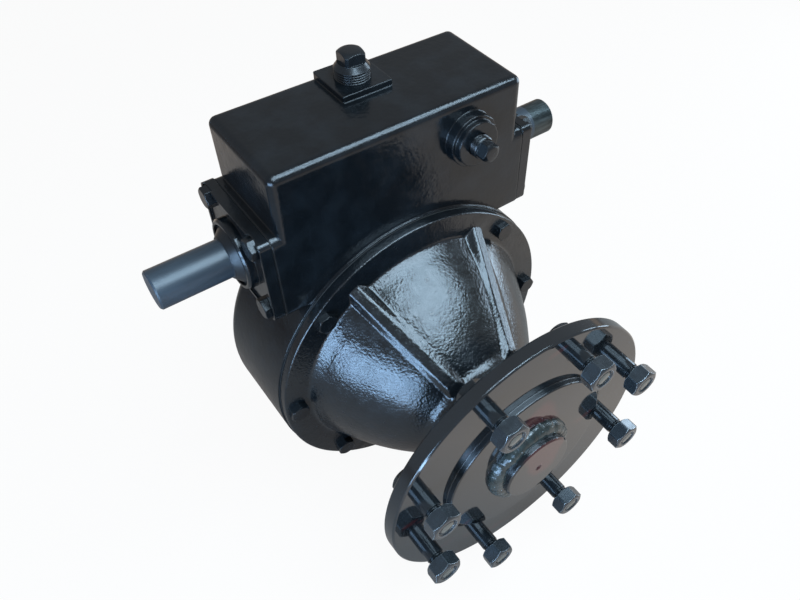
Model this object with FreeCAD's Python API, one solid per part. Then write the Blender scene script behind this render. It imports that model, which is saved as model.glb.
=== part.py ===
import FreeCAD, Part
import math
import os
from FreeCAD import Placement, Rotation, Vector

# Center pivot gearbox: a worm drive that turns one wheel of an irrigation tower.
# X runs along the input shaft, Y along the output shaft away from the wheel, Z is up.
# The origin is on the output axis, in the front face of the wheel plate. Sizes are in mm.

# Clearances and overlaps
RUN_FIT = 0.05  # radial gap of a running fit
BOLT_ROOM = 0.5  # radial gap round a bolt in its through hole
BLIND_ROOM = 2.0  # depth left below a bolt in its threaded hole
MOUTH_ROOM = 1.5  # from the gear's edge to the case's mouth
PAST = 1.0  # how far a cut reaches past a face, or a joined piece into its neighbour
GASKET_T = 0.7
SHIM_T = 0.6

# Worm and bull gear
MODULE = 4.2
GEAR_TEETH = 50
WORM_PITCH_R = 25.0
WORM_THREAD_L = 80.0
WORM_CORE_MARGIN = 3.0  # of the worm's core past its thread, at each end
PRESSURE_DEG = 20.0
TOOTH_BACKLASH = 0.5  # shared by the two flanks, at the pitch line
ROOT_CLEARANCE = 0.9
WORM_DEDENDUM_EXTRA = 0.6
GEAR_FACE_W = 38.0
GEAR_EDGE_EXTRA = 0.8  # of the gear's edge past its addendum
TOOTH_PAST_EDGE = 0.5  # how far the teeth are drawn past the edge, before the blank trims them
THROAT_CUT = 1.2  # gap kept between the throat and the worm's root
GEAR_RIM_T = 13.0
GEAR_WEB_T = 14.0
GEAR_HUB_WALL = 18.5
GEAR_HUB_FRONT = 30.0
GEAR_HUB_BACK = 24.0
GEAR_DRAFT = 1.0  # of the rim's and hub's sides, for the mould
GEAR_FILLET = 4.0  # slope between the web and the rim or hub
GEAR_EDGE = 1.0

# Wheel plate, its studs and nuts
STUD_CIRCLE_R = 101.6
STUD_COUNT = 8
STUD_FIRST_DEG = 24.5
PLATE_MARGIN = 19.1  # from the stud circle to the rim
PLATE_T = 11.8
PLATE_EDGE = 1.2
PILOT_R = 73.9
PILOT_H = 5.1
PILOT_EDGE = 0.8
STUD_R = 7.14
STUD_KNURL = 0.46  # how much thicker the stud is where it is pressed into the plate
STUD_THREAD_DEPTH = 0.54
STUD_RUNOUT = 2.0  # thread behind the nut
STUD_END_INSET = 0.3  # from the nut's face to the stud's end
STUD_EDGE = 1.0
STUD_HEAD_AF = 20.6
STUD_HEAD_T = 8.7
WHEEL_GRIP = 16.5  # from the plate to the nuts
WHEEL_NUT_AF = 22.2
WHEEL_NUT_T = 12.3
WHEEL_NUT_TURNS = (22, 50, 5, 25, 27, 40, 12, 33)  # how far each nut stopped, degrees

# Output shaft and what it carries
OUT_SHAFT_R = 30.0
OUT_SHAFT_PROUD = 17.8
OUT_SHAFT_EDGE = 1.2
OUT_CENTRE_R = 3.0
OUT_SHOULDER = 2.5  # from the shaft down to the front bearing's and the gear's seat
OUT_REAR_STEP = 2.5  # from the gear's seat down to the rear bearing's
OUT_THREAD_STEP = 0.8
WELD_LEG_R = 8.0
WELD_LEG_Y = 6.5
WELD_BULGE = 0.62  # of a leg, where 0.5 is flat
SPACER_WALL = 6.5
KEY_W = 16.0
KEY_H = 10.0
KEY_L = 40.0
KEY_DEPTH = 6.0
KEY_ROOM = 0.2
LOCK_WASHER_T = 2.0
LOCK_WASHER_INSET = 1.0
LOCK_NUT_WALL = 7.8
LOCK_NUT_T = 10.0
LOCK_SLOTS = 4
LOCK_SLOT_W = 6.0
LOCK_SLOT_DEPTH = 3.0
SHAFT_TAIL = 1.5  # thread left beyond the lock nut

# Output cover
NOSE_GAP = 12.2  # from the wheel plate to the nose
NOSE_WALL = 7.0
NOSE_L = 28.0
NOSE_EDGE = 2.0
COVER_L = 120.4  # from the nose to the joint with the case
CONE_STEP = 7.6  # from the nose up to the cone's first circle
CONE_STEP_L = 8.0
CONE_STEP_BEND = 0.9
CONE_CROWN = 3.65
CONE_CROWN_AT = 0.45  # of the cone's length
CONE_FOOT_L = 8.6
CONE_FOOT_STEP = 1.9
FOOT_DRAFT = 2.5
FLANGE_LEDGE = 22.0  # the flat ring outside the foot
FLANGE_T = 8.1
FLANGE_MARGIN = 10.0  # from the bolt circle to the rim
CONE_WALL = 9.0
CROWN_WALL = 11.7
HOLLOW_STEP = 5.5  # from the front bearing's outside to the hollow's first circle
HOLLOW_STEP_L = 4.0
RIB_W = 11.0
RIB_DEG = 60.0  # of each rib from the horizontal
RIB_FOOT_OUT = 9.5
RIB_TIP_OUT = 5.0
RIB_TIP_BACK = 2.0
RIB_EDGE = 3.0
SPIGOT_L = 3.5
SPIGOT_WALL = 11.0
COVER_BOLT_INSET = 7.5  # from the case's mouth to the bolt circle
COVER_BOLT_STEP_DEG = 45.0
COVER_BOLT_SKIP_DEG = 90.0  # no bolt at the top, where the case opens to the worm
COVER_BOLT_L = 25.0
COVER_BOLT_TURN = 7.0  # from one bolt's head to the next, degrees
SPOTFACE_R = 9.5
SPOTFACE_DEPTH = 0.4

# Small bolts
BOLT_R = 4.76
BOLT_HEAD_AF = 14.3
BOLT_HEAD_T = 6.0
HEX_FACE = 0.97  # of the flats' width, the turned face of a hexagon

# Gear case
CASE_RIM = 1.0  # from the cover's flange out to the case
CASE_WALL = 9.0
CASE_DEPTH = 86.6
CASE_BACK_ROUND = 13.0
CASE_LIP_L = 20.6
BOX_SHORT = 28.2  # how much shorter the box is than the case, at each end
BOX_ABOVE = 82.5  # from the worm's axis to the top
BOX_FRONT_SET = 1.4  # from the joint to the box's front face
BOX_DEPTH = 88.1
BOX_DRAFT = 0.8
BOX_ROUND = 6.0
BOX_FLOOR = 10.0
BOSS_OUT = 5.5
BOSS_WALL = 5.0  # over and under the input bearings
BOSS_ROUND = 8.0
PAD_SIDE = 40.4
PAD_H = 4.5
PAD_ROUND = 1.5
FILL_FROM_BACK = 22.1
LEVEL_X = 52.8
LEVEL_ABOVE = 52.0
LEVEL_DISC_R = 19.9
LEVEL_DISC_H = 8.0
LEVEL_RING_R = 17.2
LEVEL_RING_H = 4.8

# Plugs
FILL_PLUG_R = 12.7
FILL_SHOULDER = 2.7
FILL_HEAD_AF = 16.0
FILL_HEAD_TURN = 42.0
FILL_PROUD = 8.0
FILL_CONE_H = 3.2
FILL_HEAD_H = 8.3
FILL_IN = 13.0
SMALL_PLUG_R = 8.5
SMALL_HEAD_AF = 12.0
SMALL_HEAD_TURN = 18.0
SMALL_PROUD = 6.0
SMALL_HEAD_H = 8.9
SMALL_IN = 14.0
PLUG_CORNER = 0.9  # of a square head's corner radius, to which its corners are turned
PLUG_DOME = 0.12  # of that radius, the height of the head's domed top
PLUG_DOME_FLAT = 0.8  # of that radius, the flat on the dome
DRAIN_BOSS_R = 18.0
DRAIN_BOSS_H = 5.0

# Input shaft, its bearings and its caps
IN_SEAT_R = 15.0
IN_END_STEP = 0.5
IN_SHOULDER = 3.5
IN_LEFT_L = 53.3  # of bare shaft beyond the left dust excluder
IN_RIGHT_L = 44.8
IN_EDGE = 1.2
CAP_SIDE_GAP = 0.65  # from the cap's side to the box's
CAP_T = 8.6
CAP_CORNER = 5.0
CAP_RIM_W = 2.6
CAP_RECESS = 1.6
CAP_HUB_WALL = 3.5
CAP_HUB_OUT = 6.0
CAP_HUB_EDGE = 1.5
CAP_BOLT_IN_Y = 10.9
CAP_BOLT_IN_Z = 7.7
CAP_BOLT_L = 22.0
CAP_BOLT_TURN = 11.0
CAP_SPIGOT_L = 2.8
CAP_LAND = 5.5  # of the spigot's end face on the bearing's cup
CAP_WEB = 3.0  # behind the seal
CAP_NECK_ROOM = 2.0
SHIM_INSET = 0.5
IN_SEAL_SECTION = 8.5
IN_SEAL_W = 7.0
IN_SEAL_SINK = 2.5
EXCLUDER_BASE = 7.0
EXCLUDER_TIP = 1.3
EXCLUDER_OUT = 4.3
EXCLUDER_EDGE = 0.6
EXCLUDER_GAP = 0.3

# Tapered roller bearings
IN_SECTION = 16.0
FRONT_SECTION = 17.5
REAR_SECTION = 15.0
CONE_RIB_W = 2.6
CONE_RIB_H = 2.2
CONE_LIP_H = 0.8
ROLLER_END_GAP = 0.1
CAGE_T = 1.0
CAGE_OFFSET = 0.3  # where the cage runs, as a share of the roller radius outside its axis
CAGE_RIM = 1.6

# Seals
OUT_SEAL_SECTION = 12.5
OUT_SEAL_W = 10.0
OUT_SEAL_SINK = 1.0
NOSE_WEB = 4.0
NOSE_WEB_ROOM = 7.0
SEAL_RING_T = 2.0
SEAL_FACE_T = 3.0
SEAL_LIP_RISE = 1.5
SEAL_LIP_T = 1.0

# Rear boss, rear cover and the pads that bolt to the tower frame
REAR_BOSS_WALL = 16.0
REAR_BOSS_PROUD = 9.0
REAR_BOSS_GAP = 2.0  # from the gear's hub to the boss inside the case
REAR_INNER_WALL = 12.0
REAR_COVER_T = 7.0
REAR_SPIGOT_WALL = 6.0
REAR_POCKET_GAP = 1.5
REAR_DOME_IN = 2.0
REAR_DOME_DRAFT = 2.0
REAR_DOME_WALL = 3.5
REAR_BOLT_INSET = 8.0
REAR_BOLT_COUNT = 6
REAR_HOLE_DEPTH = 16.0
REAR_BOLT_R = 3.97
REAR_BOLT_AF = 12.7
REAR_BOLT_HEAD_T = 5.3
REAR_RIB_W = 10.0
MOUNT_X = 75.0
MOUNT_Z = 70.0
MOUNT_PAD_R = 20.0
MOUNT_PROUD = 25.0
MOUNT_HOLE_R = 6.75
MOUNT_HOLE_DEPTH = 26.0

# Radii that follow from the sizes above
LEAD = math.pi * MODULE
GEAR_PITCH_R = MODULE * GEAR_TEETH / 2
GEAR_EDGE_R = GEAR_PITCH_R + MODULE + GEAR_EDGE_EXTRA
CENTRE_DISTANCE = GEAR_PITCH_R + WORM_PITCH_R
WORM_TIP_R = WORM_PITCH_R + MODULE
WORM_ROOT_R = WORM_PITCH_R - MODULE - WORM_DEDENDUM_EXTRA
GEAR_ROOT_R = CENTRE_DISTANCE - WORM_TIP_R - ROOT_CLEARANCE
PLATE_R = STUD_CIRCLE_R + PLATE_MARGIN
STUD_THREAD_R = STUD_R - STUD_THREAD_DEPTH
STUD_SEAT_R = STUD_R + STUD_KNURL
OUT_GEAR_SEAT_R = OUT_SHAFT_R - OUT_SHOULDER
OUT_REAR_SEAT_R = OUT_GEAR_SEAT_R - OUT_REAR_STEP
OUT_THREAD_R = OUT_REAR_SEAT_R - OUT_THREAD_STEP
GEAR_HUB_R = OUT_GEAR_SEAT_R + GEAR_HUB_WALL
LOCK_NUT_R = OUT_THREAD_R + LOCK_NUT_WALL
OUT_SEAL_R = OUT_SHAFT_R + OUT_SEAL_SECTION
CASE_MOUTH_R = GEAR_EDGE_R + MOUTH_ROOM
COVER_BOLT_CIRCLE_R = CASE_MOUTH_R + COVER_BOLT_INSET
FLANGE_R = COVER_BOLT_CIRCLE_R + FLANGE_MARGIN
FOOT_R = FLANGE_R - FLANGE_LEDGE
FOOT_TOP_R = FOOT_R - FOOT_DRAFT
CASE_R = FLANGE_R + CASE_RIM
CHAMBER_R = CASE_R - CASE_WALL
IN_END_R = IN_SEAT_R - IN_END_STEP
IN_SHOULDER_R = IN_SEAT_R + IN_SHOULDER
IN_SEAL_R = IN_SEAT_R + IN_SEAL_SECTION
CAP_HUB_R = IN_SEAL_R + CAP_HUB_WALL

# The three bearings: the rollers run midway between the bore and the outside
IN_BEARING = dict(bore=IN_SEAT_R, outer=IN_SEAT_R + IN_SECTION, pitch=IN_SEAT_R + IN_SECTION / 2,
                  width=17.0, cup=14.0, cone=16.0, roller=3.6, length=10.0, angle=12.0, gap=1.2)
FRONT_BEARING = dict(bore=OUT_GEAR_SEAT_R, outer=OUT_GEAR_SEAT_R + FRONT_SECTION,
                     pitch=OUT_GEAR_SEAT_R + FRONT_SECTION / 2,
                     width=23.0, cup=18.0, cone=22.0, roller=4.9, length=14.0, angle=13.0, gap=1.4)
REAR_BEARING = dict(bore=OUT_REAR_SEAT_R, outer=OUT_REAR_SEAT_R + REAR_SECTION,
                    pitch=OUT_REAR_SEAT_R + REAR_SECTION / 2,
                    width=20.0, cup=15.5, cone=19.5, roller=4.3, length=12.0, angle=13.0, gap=1.3)
NOSE_R = FRONT_BEARING["outer"] + NOSE_WALL
REAR_BOSS_R = REAR_BEARING["outer"] + REAR_BOSS_WALL
REAR_BOLT_CIRCLE_R = REAR_BEARING["outer"] + REAR_BOLT_INSET
REAR_DOME_R = REAR_BEARING["outer"] - REAR_DOME_IN
BOSS_HALF_Z = IN_BEARING["outer"] + BOSS_WALL
CAP_BORE_R = IN_BEARING["outer"] - CAP_LAND

# Places along the output axis
NOSE_Y = PLATE_T + NOSE_GAP
SEAL_Y = NOSE_Y + OUT_SEAL_SINK
FRONT_CUP_Y = SEAL_Y + OUT_SEAL_W + NOSE_WEB
FRONT_CONE_BACK_Y = FRONT_CUP_Y + FRONT_BEARING["width"]
SHAFT_SHOULDER_Y = FRONT_CONE_BACK_Y - FRONT_BEARING["cone"]
JOINT_Y = NOSE_Y + COVER_L
COVER_BACK_Y = JOINT_Y - GASKET_T
FLANGE_Y = COVER_BACK_Y - FLANGE_T
BOX_FRONT_AT_BOTTOM = JOINT_Y + BOX_FRONT_SET
BOX_BACK_AT_BOTTOM = BOX_FRONT_AT_BOTTOM + BOX_DEPTH
GEAR_Y = (BOX_FRONT_AT_BOTTOM + BOX_BACK_AT_BOTTOM) / 2
HUB_FRONT_Y = GEAR_Y - GEAR_HUB_FRONT
HUB_BACK_Y = GEAR_Y + GEAR_HUB_BACK
REAR_CUP_Y = HUB_BACK_Y + REAR_BEARING["width"]
REAR_CONE_END_Y = HUB_BACK_Y + REAR_BEARING["cone"]
LOCK_NUT_Y = REAR_CONE_END_Y + LOCK_WASHER_T
SHAFT_TAIL_Y = LOCK_NUT_Y + LOCK_NUT_T + SHAFT_TAIL
CASE_BACK_Y = JOINT_Y + CASE_DEPTH
CHAMBER_FRONT_Y = JOINT_Y + CASE_LIP_L
CHAMBER_BACK_Y = CASE_BACK_Y - CASE_WALL
REAR_BOSS_Y = CASE_BACK_Y + REAR_BOSS_PROUD
REAR_BOSS_IN_Y = HUB_BACK_Y + REAR_BOSS_GAP
MOUNT_FACE_Y = CASE_BACK_Y + MOUNT_PROUD

# Places on the worm's box
WORM_Y = GEAR_Y
WORM_Z = CENTRE_DISTANCE
BOX_TOP_Z = WORM_Z + BOX_ABOVE
BOX_BOTTOM_Z = WORM_Z - BOSS_HALF_Z
PAD_TOP_Z = BOX_TOP_Z + PAD_H
FILL_Y = BOX_BACK_AT_BOTTOM - BOX_DRAFT - FILL_FROM_BACK
LEVEL_Z = WORM_Z + LEVEL_ABOVE
BOX_HALF_X = CASE_R - BOX_SHORT
BOSS_X = BOX_HALF_X + BOSS_OUT
CAP_X = BOSS_X + SHIM_T
CAP_FACE_X = CAP_X + CAP_T
CAP_HUB_END = CAP_FACE_X + CAP_HUB_OUT
CAP_HALF_Y = BOX_DEPTH / 2 - CAP_SIDE_GAP
CAP_HALF_Z = BOSS_HALF_Z
IN_CUP_X = CAP_X - CAP_SPIGOT_L
IN_SHOULDER_X = IN_CUP_X - IN_BEARING["width"]
IN_SEAL_X = CAP_HUB_END - IN_SEAL_SINK - IN_SEAL_W
IN_SEAT_END = CAP_HUB_END + EXCLUDER_OUT
FRONT = Vector(0, -1, 0)
BACK = Vector(0, 1, 0)
UP = Vector(0, 0, 1)
DOWN = Vector(0, 0, -1)
RIGHT = Vector(1, 0, 0)
ORIGIN = Vector(0, 0, 0)
WORM_AXIS = Vector(0, WORM_Y, WORM_Z)


def polygon_face(points):
    """A flat face inside a closed outline of corner points."""
    return Part.Face(Part.makePolygon(points + points[:1]))


def turned_y(profile):
    """A solid of revolution about the output axis, from (radius, y) corners."""
    face = polygon_face([Vector(r, y, 0) for r, y in profile])
    return face.revolve(ORIGIN, BACK, 360)


def turned_x(profile):
    """A solid of revolution about the worm axis, from (radius, x) corners."""
    face = polygon_face([Vector(x, WORM_Y, WORM_Z + r) for r, x in profile])
    return face.revolve(WORM_AXIS, RIGHT, 360)


def tube_y(inner_r, outer_r, y0, y1):
    """A plain ring on the output axis."""
    return turned_y([(inner_r, y0), (outer_r, y0), (outer_r, y1), (inner_r, y1)])


def tube_x(inner_r, outer_r, x0, x1):
    """A plain ring on the worm axis."""
    return turned_x([(inner_r, x0), (outer_r, x0), (outer_r, x1), (inner_r, x1)])


def rod_y(radius, y0, y1, x=0.0, z=0.0):
    """A cylinder along Y."""
    return Part.makeCylinder(radius, y1 - y0, Vector(x, y0, z), BACK)


def rod_x(radius, x0, x1, y=WORM_Y, z=WORM_Z):
    """A cylinder along X."""
    return Part.makeCylinder(radius, x1 - x0, Vector(x0, y, z), RIGHT)


def block(x0, x1, y0, y1, z0, z1):
    """A box between two corners."""
    return Part.makeBox(x1 - x0, y1 - y0, z1 - z0, Vector(x0, y0, z0))


def on_circle(radius, degrees, y=0.0):
    """A point on a circle about the output axis, turned from +X towards +Z."""
    angle = math.radians(degrees)
    return Vector(radius * math.cos(angle), y, radius * math.sin(angle))


def turned_about_y(shape, degrees):
    """A copy turned about the output axis, from +X towards +Z."""
    copy = shape.copy()
    copy.rotate(ORIGIN, BACK, -degrees)
    return copy


def fused(shapes):
    """One solid from overlapping ones, with its split faces joined."""
    return shapes[0].multiFuse(shapes[1:]).removeSplitter()


def cut_all(shape, tools):
    """A shape less several tools."""
    return shape.cut(Part.makeCompound(tools))


def other_side(shape):
    """The same piece at the other end of the input shaft."""
    return shape.mirror(ORIGIN, RIGHT)


def stood(shape, base, direction, turn=0.0):
    """A shape made along +Z, stood on a point with its +Z in the given direction."""
    place = Placement(base, Rotation(UP, direction).multiply(Rotation(UP, turn)))
    copy = shape.copy()
    copy.Placement = place.multiply(copy.Placement)
    return copy


def prism(sides, across_flats, height):
    """A regular prism along +Z."""
    corner_r = across_flats / 2 / math.cos(math.pi / sides)
    corners = []
    for k in range(sides):
        angle = 2 * math.pi * k / sides
        corners.append(Vector(corner_r * math.cos(angle), corner_r * math.sin(angle), 0))
    return polygon_face(corners).extrude(Vector(0, 0, height))


def chamfered_hex(across_flats, height, both_ends):
    """A hexagon with its corners turned off, on the far end or on both."""
    corner_r = across_flats / math.sqrt(3)
    flat_r = across_flats / 2 * HEX_FACE
    drop = (corner_r - flat_r) * math.tan(math.radians(30))
    outline = [Vector(0, 0, 0)]
    if both_ends:
        outline += [Vector(flat_r, 0, 0), Vector(corner_r, 0, drop)]
    else:
        outline += [Vector(corner_r, 0, 0)]
    outline += [Vector(corner_r, 0, height - drop), Vector(flat_r, 0, height), Vector(0, 0, height)]
    turned = polygon_face(outline).revolve(ORIGIN, UP, 360)
    return prism(6, across_flats, height).common(turned)


def hex_bolt(across_flats, head_t, radius, length):
    """A hexagon bolt along +Z with the bearing face of its head at z = 0."""
    head = chamfered_hex(across_flats, head_t, False)
    shank = Part.makeCylinder(radius, length, Vector(0, 0, -length))
    return head.fuse(shank)


def square_plug(radius, length_in, proud, cone_h, shoulder_r, across_flats, head_h):
    """A pipe plug along +Z with its seat at z = 0 and a square head with turned corners."""
    turned_r = across_flats / math.sqrt(2) * PLUG_CORNER
    body = Part.makeCylinder(radius, length_in + proud, Vector(0, 0, -length_in))
    head = prism(4, across_flats, head_h)
    dome = turned_r * PLUG_DOME
    top_r = turned_r * PLUG_DOME_FLAT
    outline = [(0, 0), (turned_r, 0), (turned_r, head_h - dome), (top_r, head_h), (0, head_h)]
    round_bar = polygon_face([Vector(r, 0, z) for r, z in outline]).revolve(ORIGIN, UP, 360)
    head = head.common(round_bar)
    head.translate(Vector(0, 0, proud + cone_h))
    pieces = [body, head]
    if cone_h > 0:
        pieces.append(Part.makeCone(radius, shoulder_r, cone_h, Vector(0, 0, proud)))
    return fused(pieces)


def bearing_shape(size):
    """Angles and places shared by the four pieces of a tapered roller bearing."""
    angle = math.radians(size["angle"])
    to_apex = size["pitch"] / math.sin(angle)
    half = math.atan(size["roller"] / to_apex)
    large_r = (to_apex + size["length"] / 2) * math.tan(half)
    small_r = (to_apex - size["length"] / 2) * math.tan(half)
    centre = CONE_RIB_W + ROLLER_END_GAP + size["length"] / 2 * math.cos(angle) + large_r * math.sin(angle)
    apex = centre + size["pitch"] / math.tan(angle)
    return dict(angle=angle, half=half, large_r=large_r, small_r=small_r, centre=centre, apex=apex)


def bearing_cup(size):
    """The outer ring along +Z. The inner ring's back face is at z = 0."""
    shape = bearing_shape(size)
    slope = math.tan(shape["angle"] + shape["half"])
    z0 = size["width"] - size["cup"]
    z1 = size["width"]
    inner_0 = (shape["apex"] - z0) * slope + RUN_FIT
    inner_1 = (shape["apex"] - z1) * slope + RUN_FIT
    corners = [(inner_0, z0), (size["outer"], z0), (size["outer"], z1), (inner_1, z1)]
    return polygon_face([Vector(r, 0, z) for r, z in corners]).revolve(ORIGIN, UP, 360)


def bearing_cone(size):
    """The inner ring along +Z, with its large rib at z = 0."""
    shape = bearing_shape(size)
    slope = math.tan(shape["angle"] - shape["half"])
    lip_z = shape["centre"] + size["length"] / 2 * math.cos(shape["angle"]) + ROLLER_END_GAP
    race_0 = (shape["apex"] - CONE_RIB_W) * slope - RUN_FIT
    race_1 = (shape["apex"] - lip_z) * slope - RUN_FIT
    corners = [
        (size["bore"], 0),
        (race_0 + CONE_RIB_H, 0),
        (race_0 + CONE_RIB_H, CONE_RIB_W),
        (race_0, CONE_RIB_W),
        (race_1, lip_z),
        (race_1 + CONE_LIP_H, lip_z),
        (race_1 + CONE_LIP_H, size["cone"]),
        (size["bore"], size["cone"]),
    ]
    return polygon_face([Vector(r, 0, z) for r, z in corners]).revolve(ORIGIN, UP, 360)


def roller_count(size):
    """How many rollers go round with the cage's bars between them."""
    return int(2 * math.pi * size["pitch"] / (2 * size["roller"] + size["gap"]))


def one_roller(size, grow=0.0):
    """A tapered roller at its place in the +X half plane, made larger all round by grow."""
    shape = bearing_shape(size)
    direction = Vector(-math.sin(shape["angle"]), 0, math.cos(shape["angle"]))
    centre = Vector(size["pitch"], 0, shape["centre"])
    start = centre - direction * (size["length"] / 2 + grow)
    length = size["length"] + 2 * grow
    return Part.makeCone(shape["large_r"] + grow, shape["small_r"] + grow, length, start, direction)


def bearing_rollers(size):
    """The set of rollers along +Z."""
    count = roller_count(size)
    rollers = []
    for k in range(count):
        roller = one_roller(size)
        roller.rotate(ORIGIN, UP, 360 / count * k)
        rollers.append(roller)
    return Part.makeCompound(rollers)


def bearing_cage(size):
    """A thin coned band with one window for each roller."""
    shape = bearing_shape(size)
    slope = math.tan(shape["angle"])
    reach = size["length"] / 2 * math.cos(shape["angle"]) + CAGE_RIM
    offset = size["roller"] * CAGE_OFFSET
    z0 = shape["centre"] - reach
    z1 = shape["centre"] + reach
    r0 = size["pitch"] + reach * slope + offset
    r1 = size["pitch"] - reach * slope + offset
    corners = [(r0, z0), (r0 + CAGE_T, z0), (r1 + CAGE_T, z1), (r1, z1)]
    band = polygon_face([Vector(r, 0, z) for r, z in corners]).revolve(ORIGIN, UP, 360)
    count = roller_count(size)
    windows = []
    for k in range(count):
        window = one_roller(size, 2 * RUN_FIT)
        window.rotate(ORIGIN, UP, 360 / count * k)
        windows.append(window)
    return cut_all(band, windows)


def bearing(size, base, direction):
    """The four pieces of a bearing, stood with the inner ring's back face on a point."""
    makers = {"cup": bearing_cup, "cone": bearing_cone, "rollers": bearing_rollers, "cage": bearing_cage}
    return {name: stood(make(size), base, direction) for name, make in makers.items()}


def gear_case():
    """The cast housing: a round case for the bull gear with the worm's box on top."""
    drum = rod_y(CASE_R, JOINT_Y, CASE_BACK_Y)
    rear_edge = [e for e in drum.Edges if e.Curve.TypeId == "Part::GeomCircle"
                 and abs(e.Curve.Center.y - CASE_BACK_Y) < 0.01]
    drum = drum.makeFillet(CASE_BACK_ROUND, rear_edge)
    solids = [drum, worm_box()]
    for side in (-1, 1):
        solids.append(end_boss(side))
    solids.append(fill_pad())
    wall_y = box_front(LEVEL_Z)
    solids.append(rod_y(LEVEL_DISC_R, wall_y - LEVEL_DISC_H, wall_y + CASE_WALL, LEVEL_X, LEVEL_Z))
    solids.append(rod_y(LEVEL_RING_R, level_seat_y(), wall_y, LEVEL_X, LEVEL_Z))
    solids.append(rod_y(REAR_BOSS_R, CHAMBER_BACK_Y, REAR_BOSS_Y))
    for x in (-MOUNT_X, MOUNT_X):
        for z in (-MOUNT_Z, MOUNT_Z):
            solids.append(rod_y(MOUNT_PAD_R, CHAMBER_BACK_Y, MOUNT_FACE_Y, x, z))
            solids.append(rear_rib(x, z))
    solids.append(Part.makeCylinder(DRAIN_BOSS_R, CASE_WALL + DRAIN_BOSS_H,
                                    Vector(0, GEAR_Y, -CASE_R - DRAIN_BOSS_H), UP))
    casting = fused(solids)
    casting = cut_all(casting, case_hollows())
    inner_boss = tube_y(REAR_BEARING["outer"], REAR_BEARING["outer"] + REAR_INNER_WALL, REAR_BOSS_IN_Y,
                        CHAMBER_BACK_Y + PAST)
    return casting.fuse(inner_boss).removeSplitter()


def box_front(z):
    """Y of the worm box's front face at a height. The face leans back a little for the mould."""
    share = (z - BOX_BOTTOM_Z) / (BOX_TOP_Z - BOX_BOTTOM_Z)
    return BOX_FRONT_AT_BOTTOM + share * BOX_DRAFT


def box_back(z):
    """Y of the worm box's back face at a height."""
    share = (z - BOX_BOTTOM_Z) / (BOX_TOP_Z - BOX_BOTTOM_Z)
    return BOX_BACK_AT_BOTTOM - share * BOX_DRAFT


def level_seat_y():
    """Y of the face that the level plug screws into."""
    return box_front(LEVEL_Z) - LEVEL_DISC_H - LEVEL_RING_H


def drafted_prism(x0, x1, z0, z1):
    """A length of the box's section between two heights."""
    corners = [Vector(x0, box_front(z0), z0), Vector(x0, box_front(z1), z1),
               Vector(x0, box_back(z1), z1), Vector(x0, box_back(z0), z0)]
    return polygon_face(corners).extrude(Vector(x1 - x0, 0, 0))


def edges_above(shape, low_z):
    """Edges that reach no lower than a height."""
    return [e for e in shape.Edges if e.BoundBox.ZMin > low_z]


def lengthwise_edges(shape, z):
    """Edges that run along the worm at a height."""
    return [e for e in shape.Edges
            if e.BoundBox.XLength > BOSS_OUT and abs(e.BoundBox.Center.z - z) < PAST / 2]


def upright_edges(shape):
    """Edges that run nearly straight up."""
    return [e for e in shape.Edges
            if e.BoundBox.ZLength > max(e.BoundBox.XLength, e.BoundBox.YLength)]


def worm_box():
    """The long box over the case, with rounded edges."""
    box = drafted_prism(-BOX_HALF_X, BOX_HALF_X, BOX_BOTTOM_Z, BOX_TOP_Z)
    box = box.makeFillet(CAP_CORNER, lengthwise_edges(box, BOX_BOTTOM_Z))
    edges = edges_above(box, BOX_TOP_Z - PAST) + upright_edges(box)
    return box.makeFillet(BOX_ROUND, edges)


def end_boss(side):
    """The thick end of the box that holds a bearing."""
    inner = BOX_HALF_X - CASE_WALL
    boss = drafted_prism(inner, BOSS_X, WORM_Z - BOSS_HALF_Z, WORM_Z + BOSS_HALF_Z)
    boss = boss.makeFillet(BOSS_ROUND, lengthwise_edges(boss, WORM_Z + BOSS_HALF_Z))
    boss = boss.makeFillet(CAP_CORNER, lengthwise_edges(boss, WORM_Z - BOSS_HALF_Z))
    return boss if side > 0 else other_side(boss)


def fill_pad():
    """The square pad round the fill plug."""
    half = PAD_SIDE / 2
    pad = block(-half, half, FILL_Y - half, FILL_Y + half, BOX_TOP_Z - PAST, PAD_TOP_Z)
    return pad.makeFillet(PAD_ROUND, upright_edges(pad))


def rear_rib(x, z):
    """A low rib from the rear boss to a mounting pad."""
    reach = math.hypot(x, z)
    rib = block(REAR_BOSS_R - PAST, reach, CHAMBER_BACK_Y, REAR_BOSS_Y, -REAR_RIB_W / 2, REAR_RIB_W / 2)
    return turned_about_y(rib, math.degrees(math.atan2(z, x)))


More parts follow.
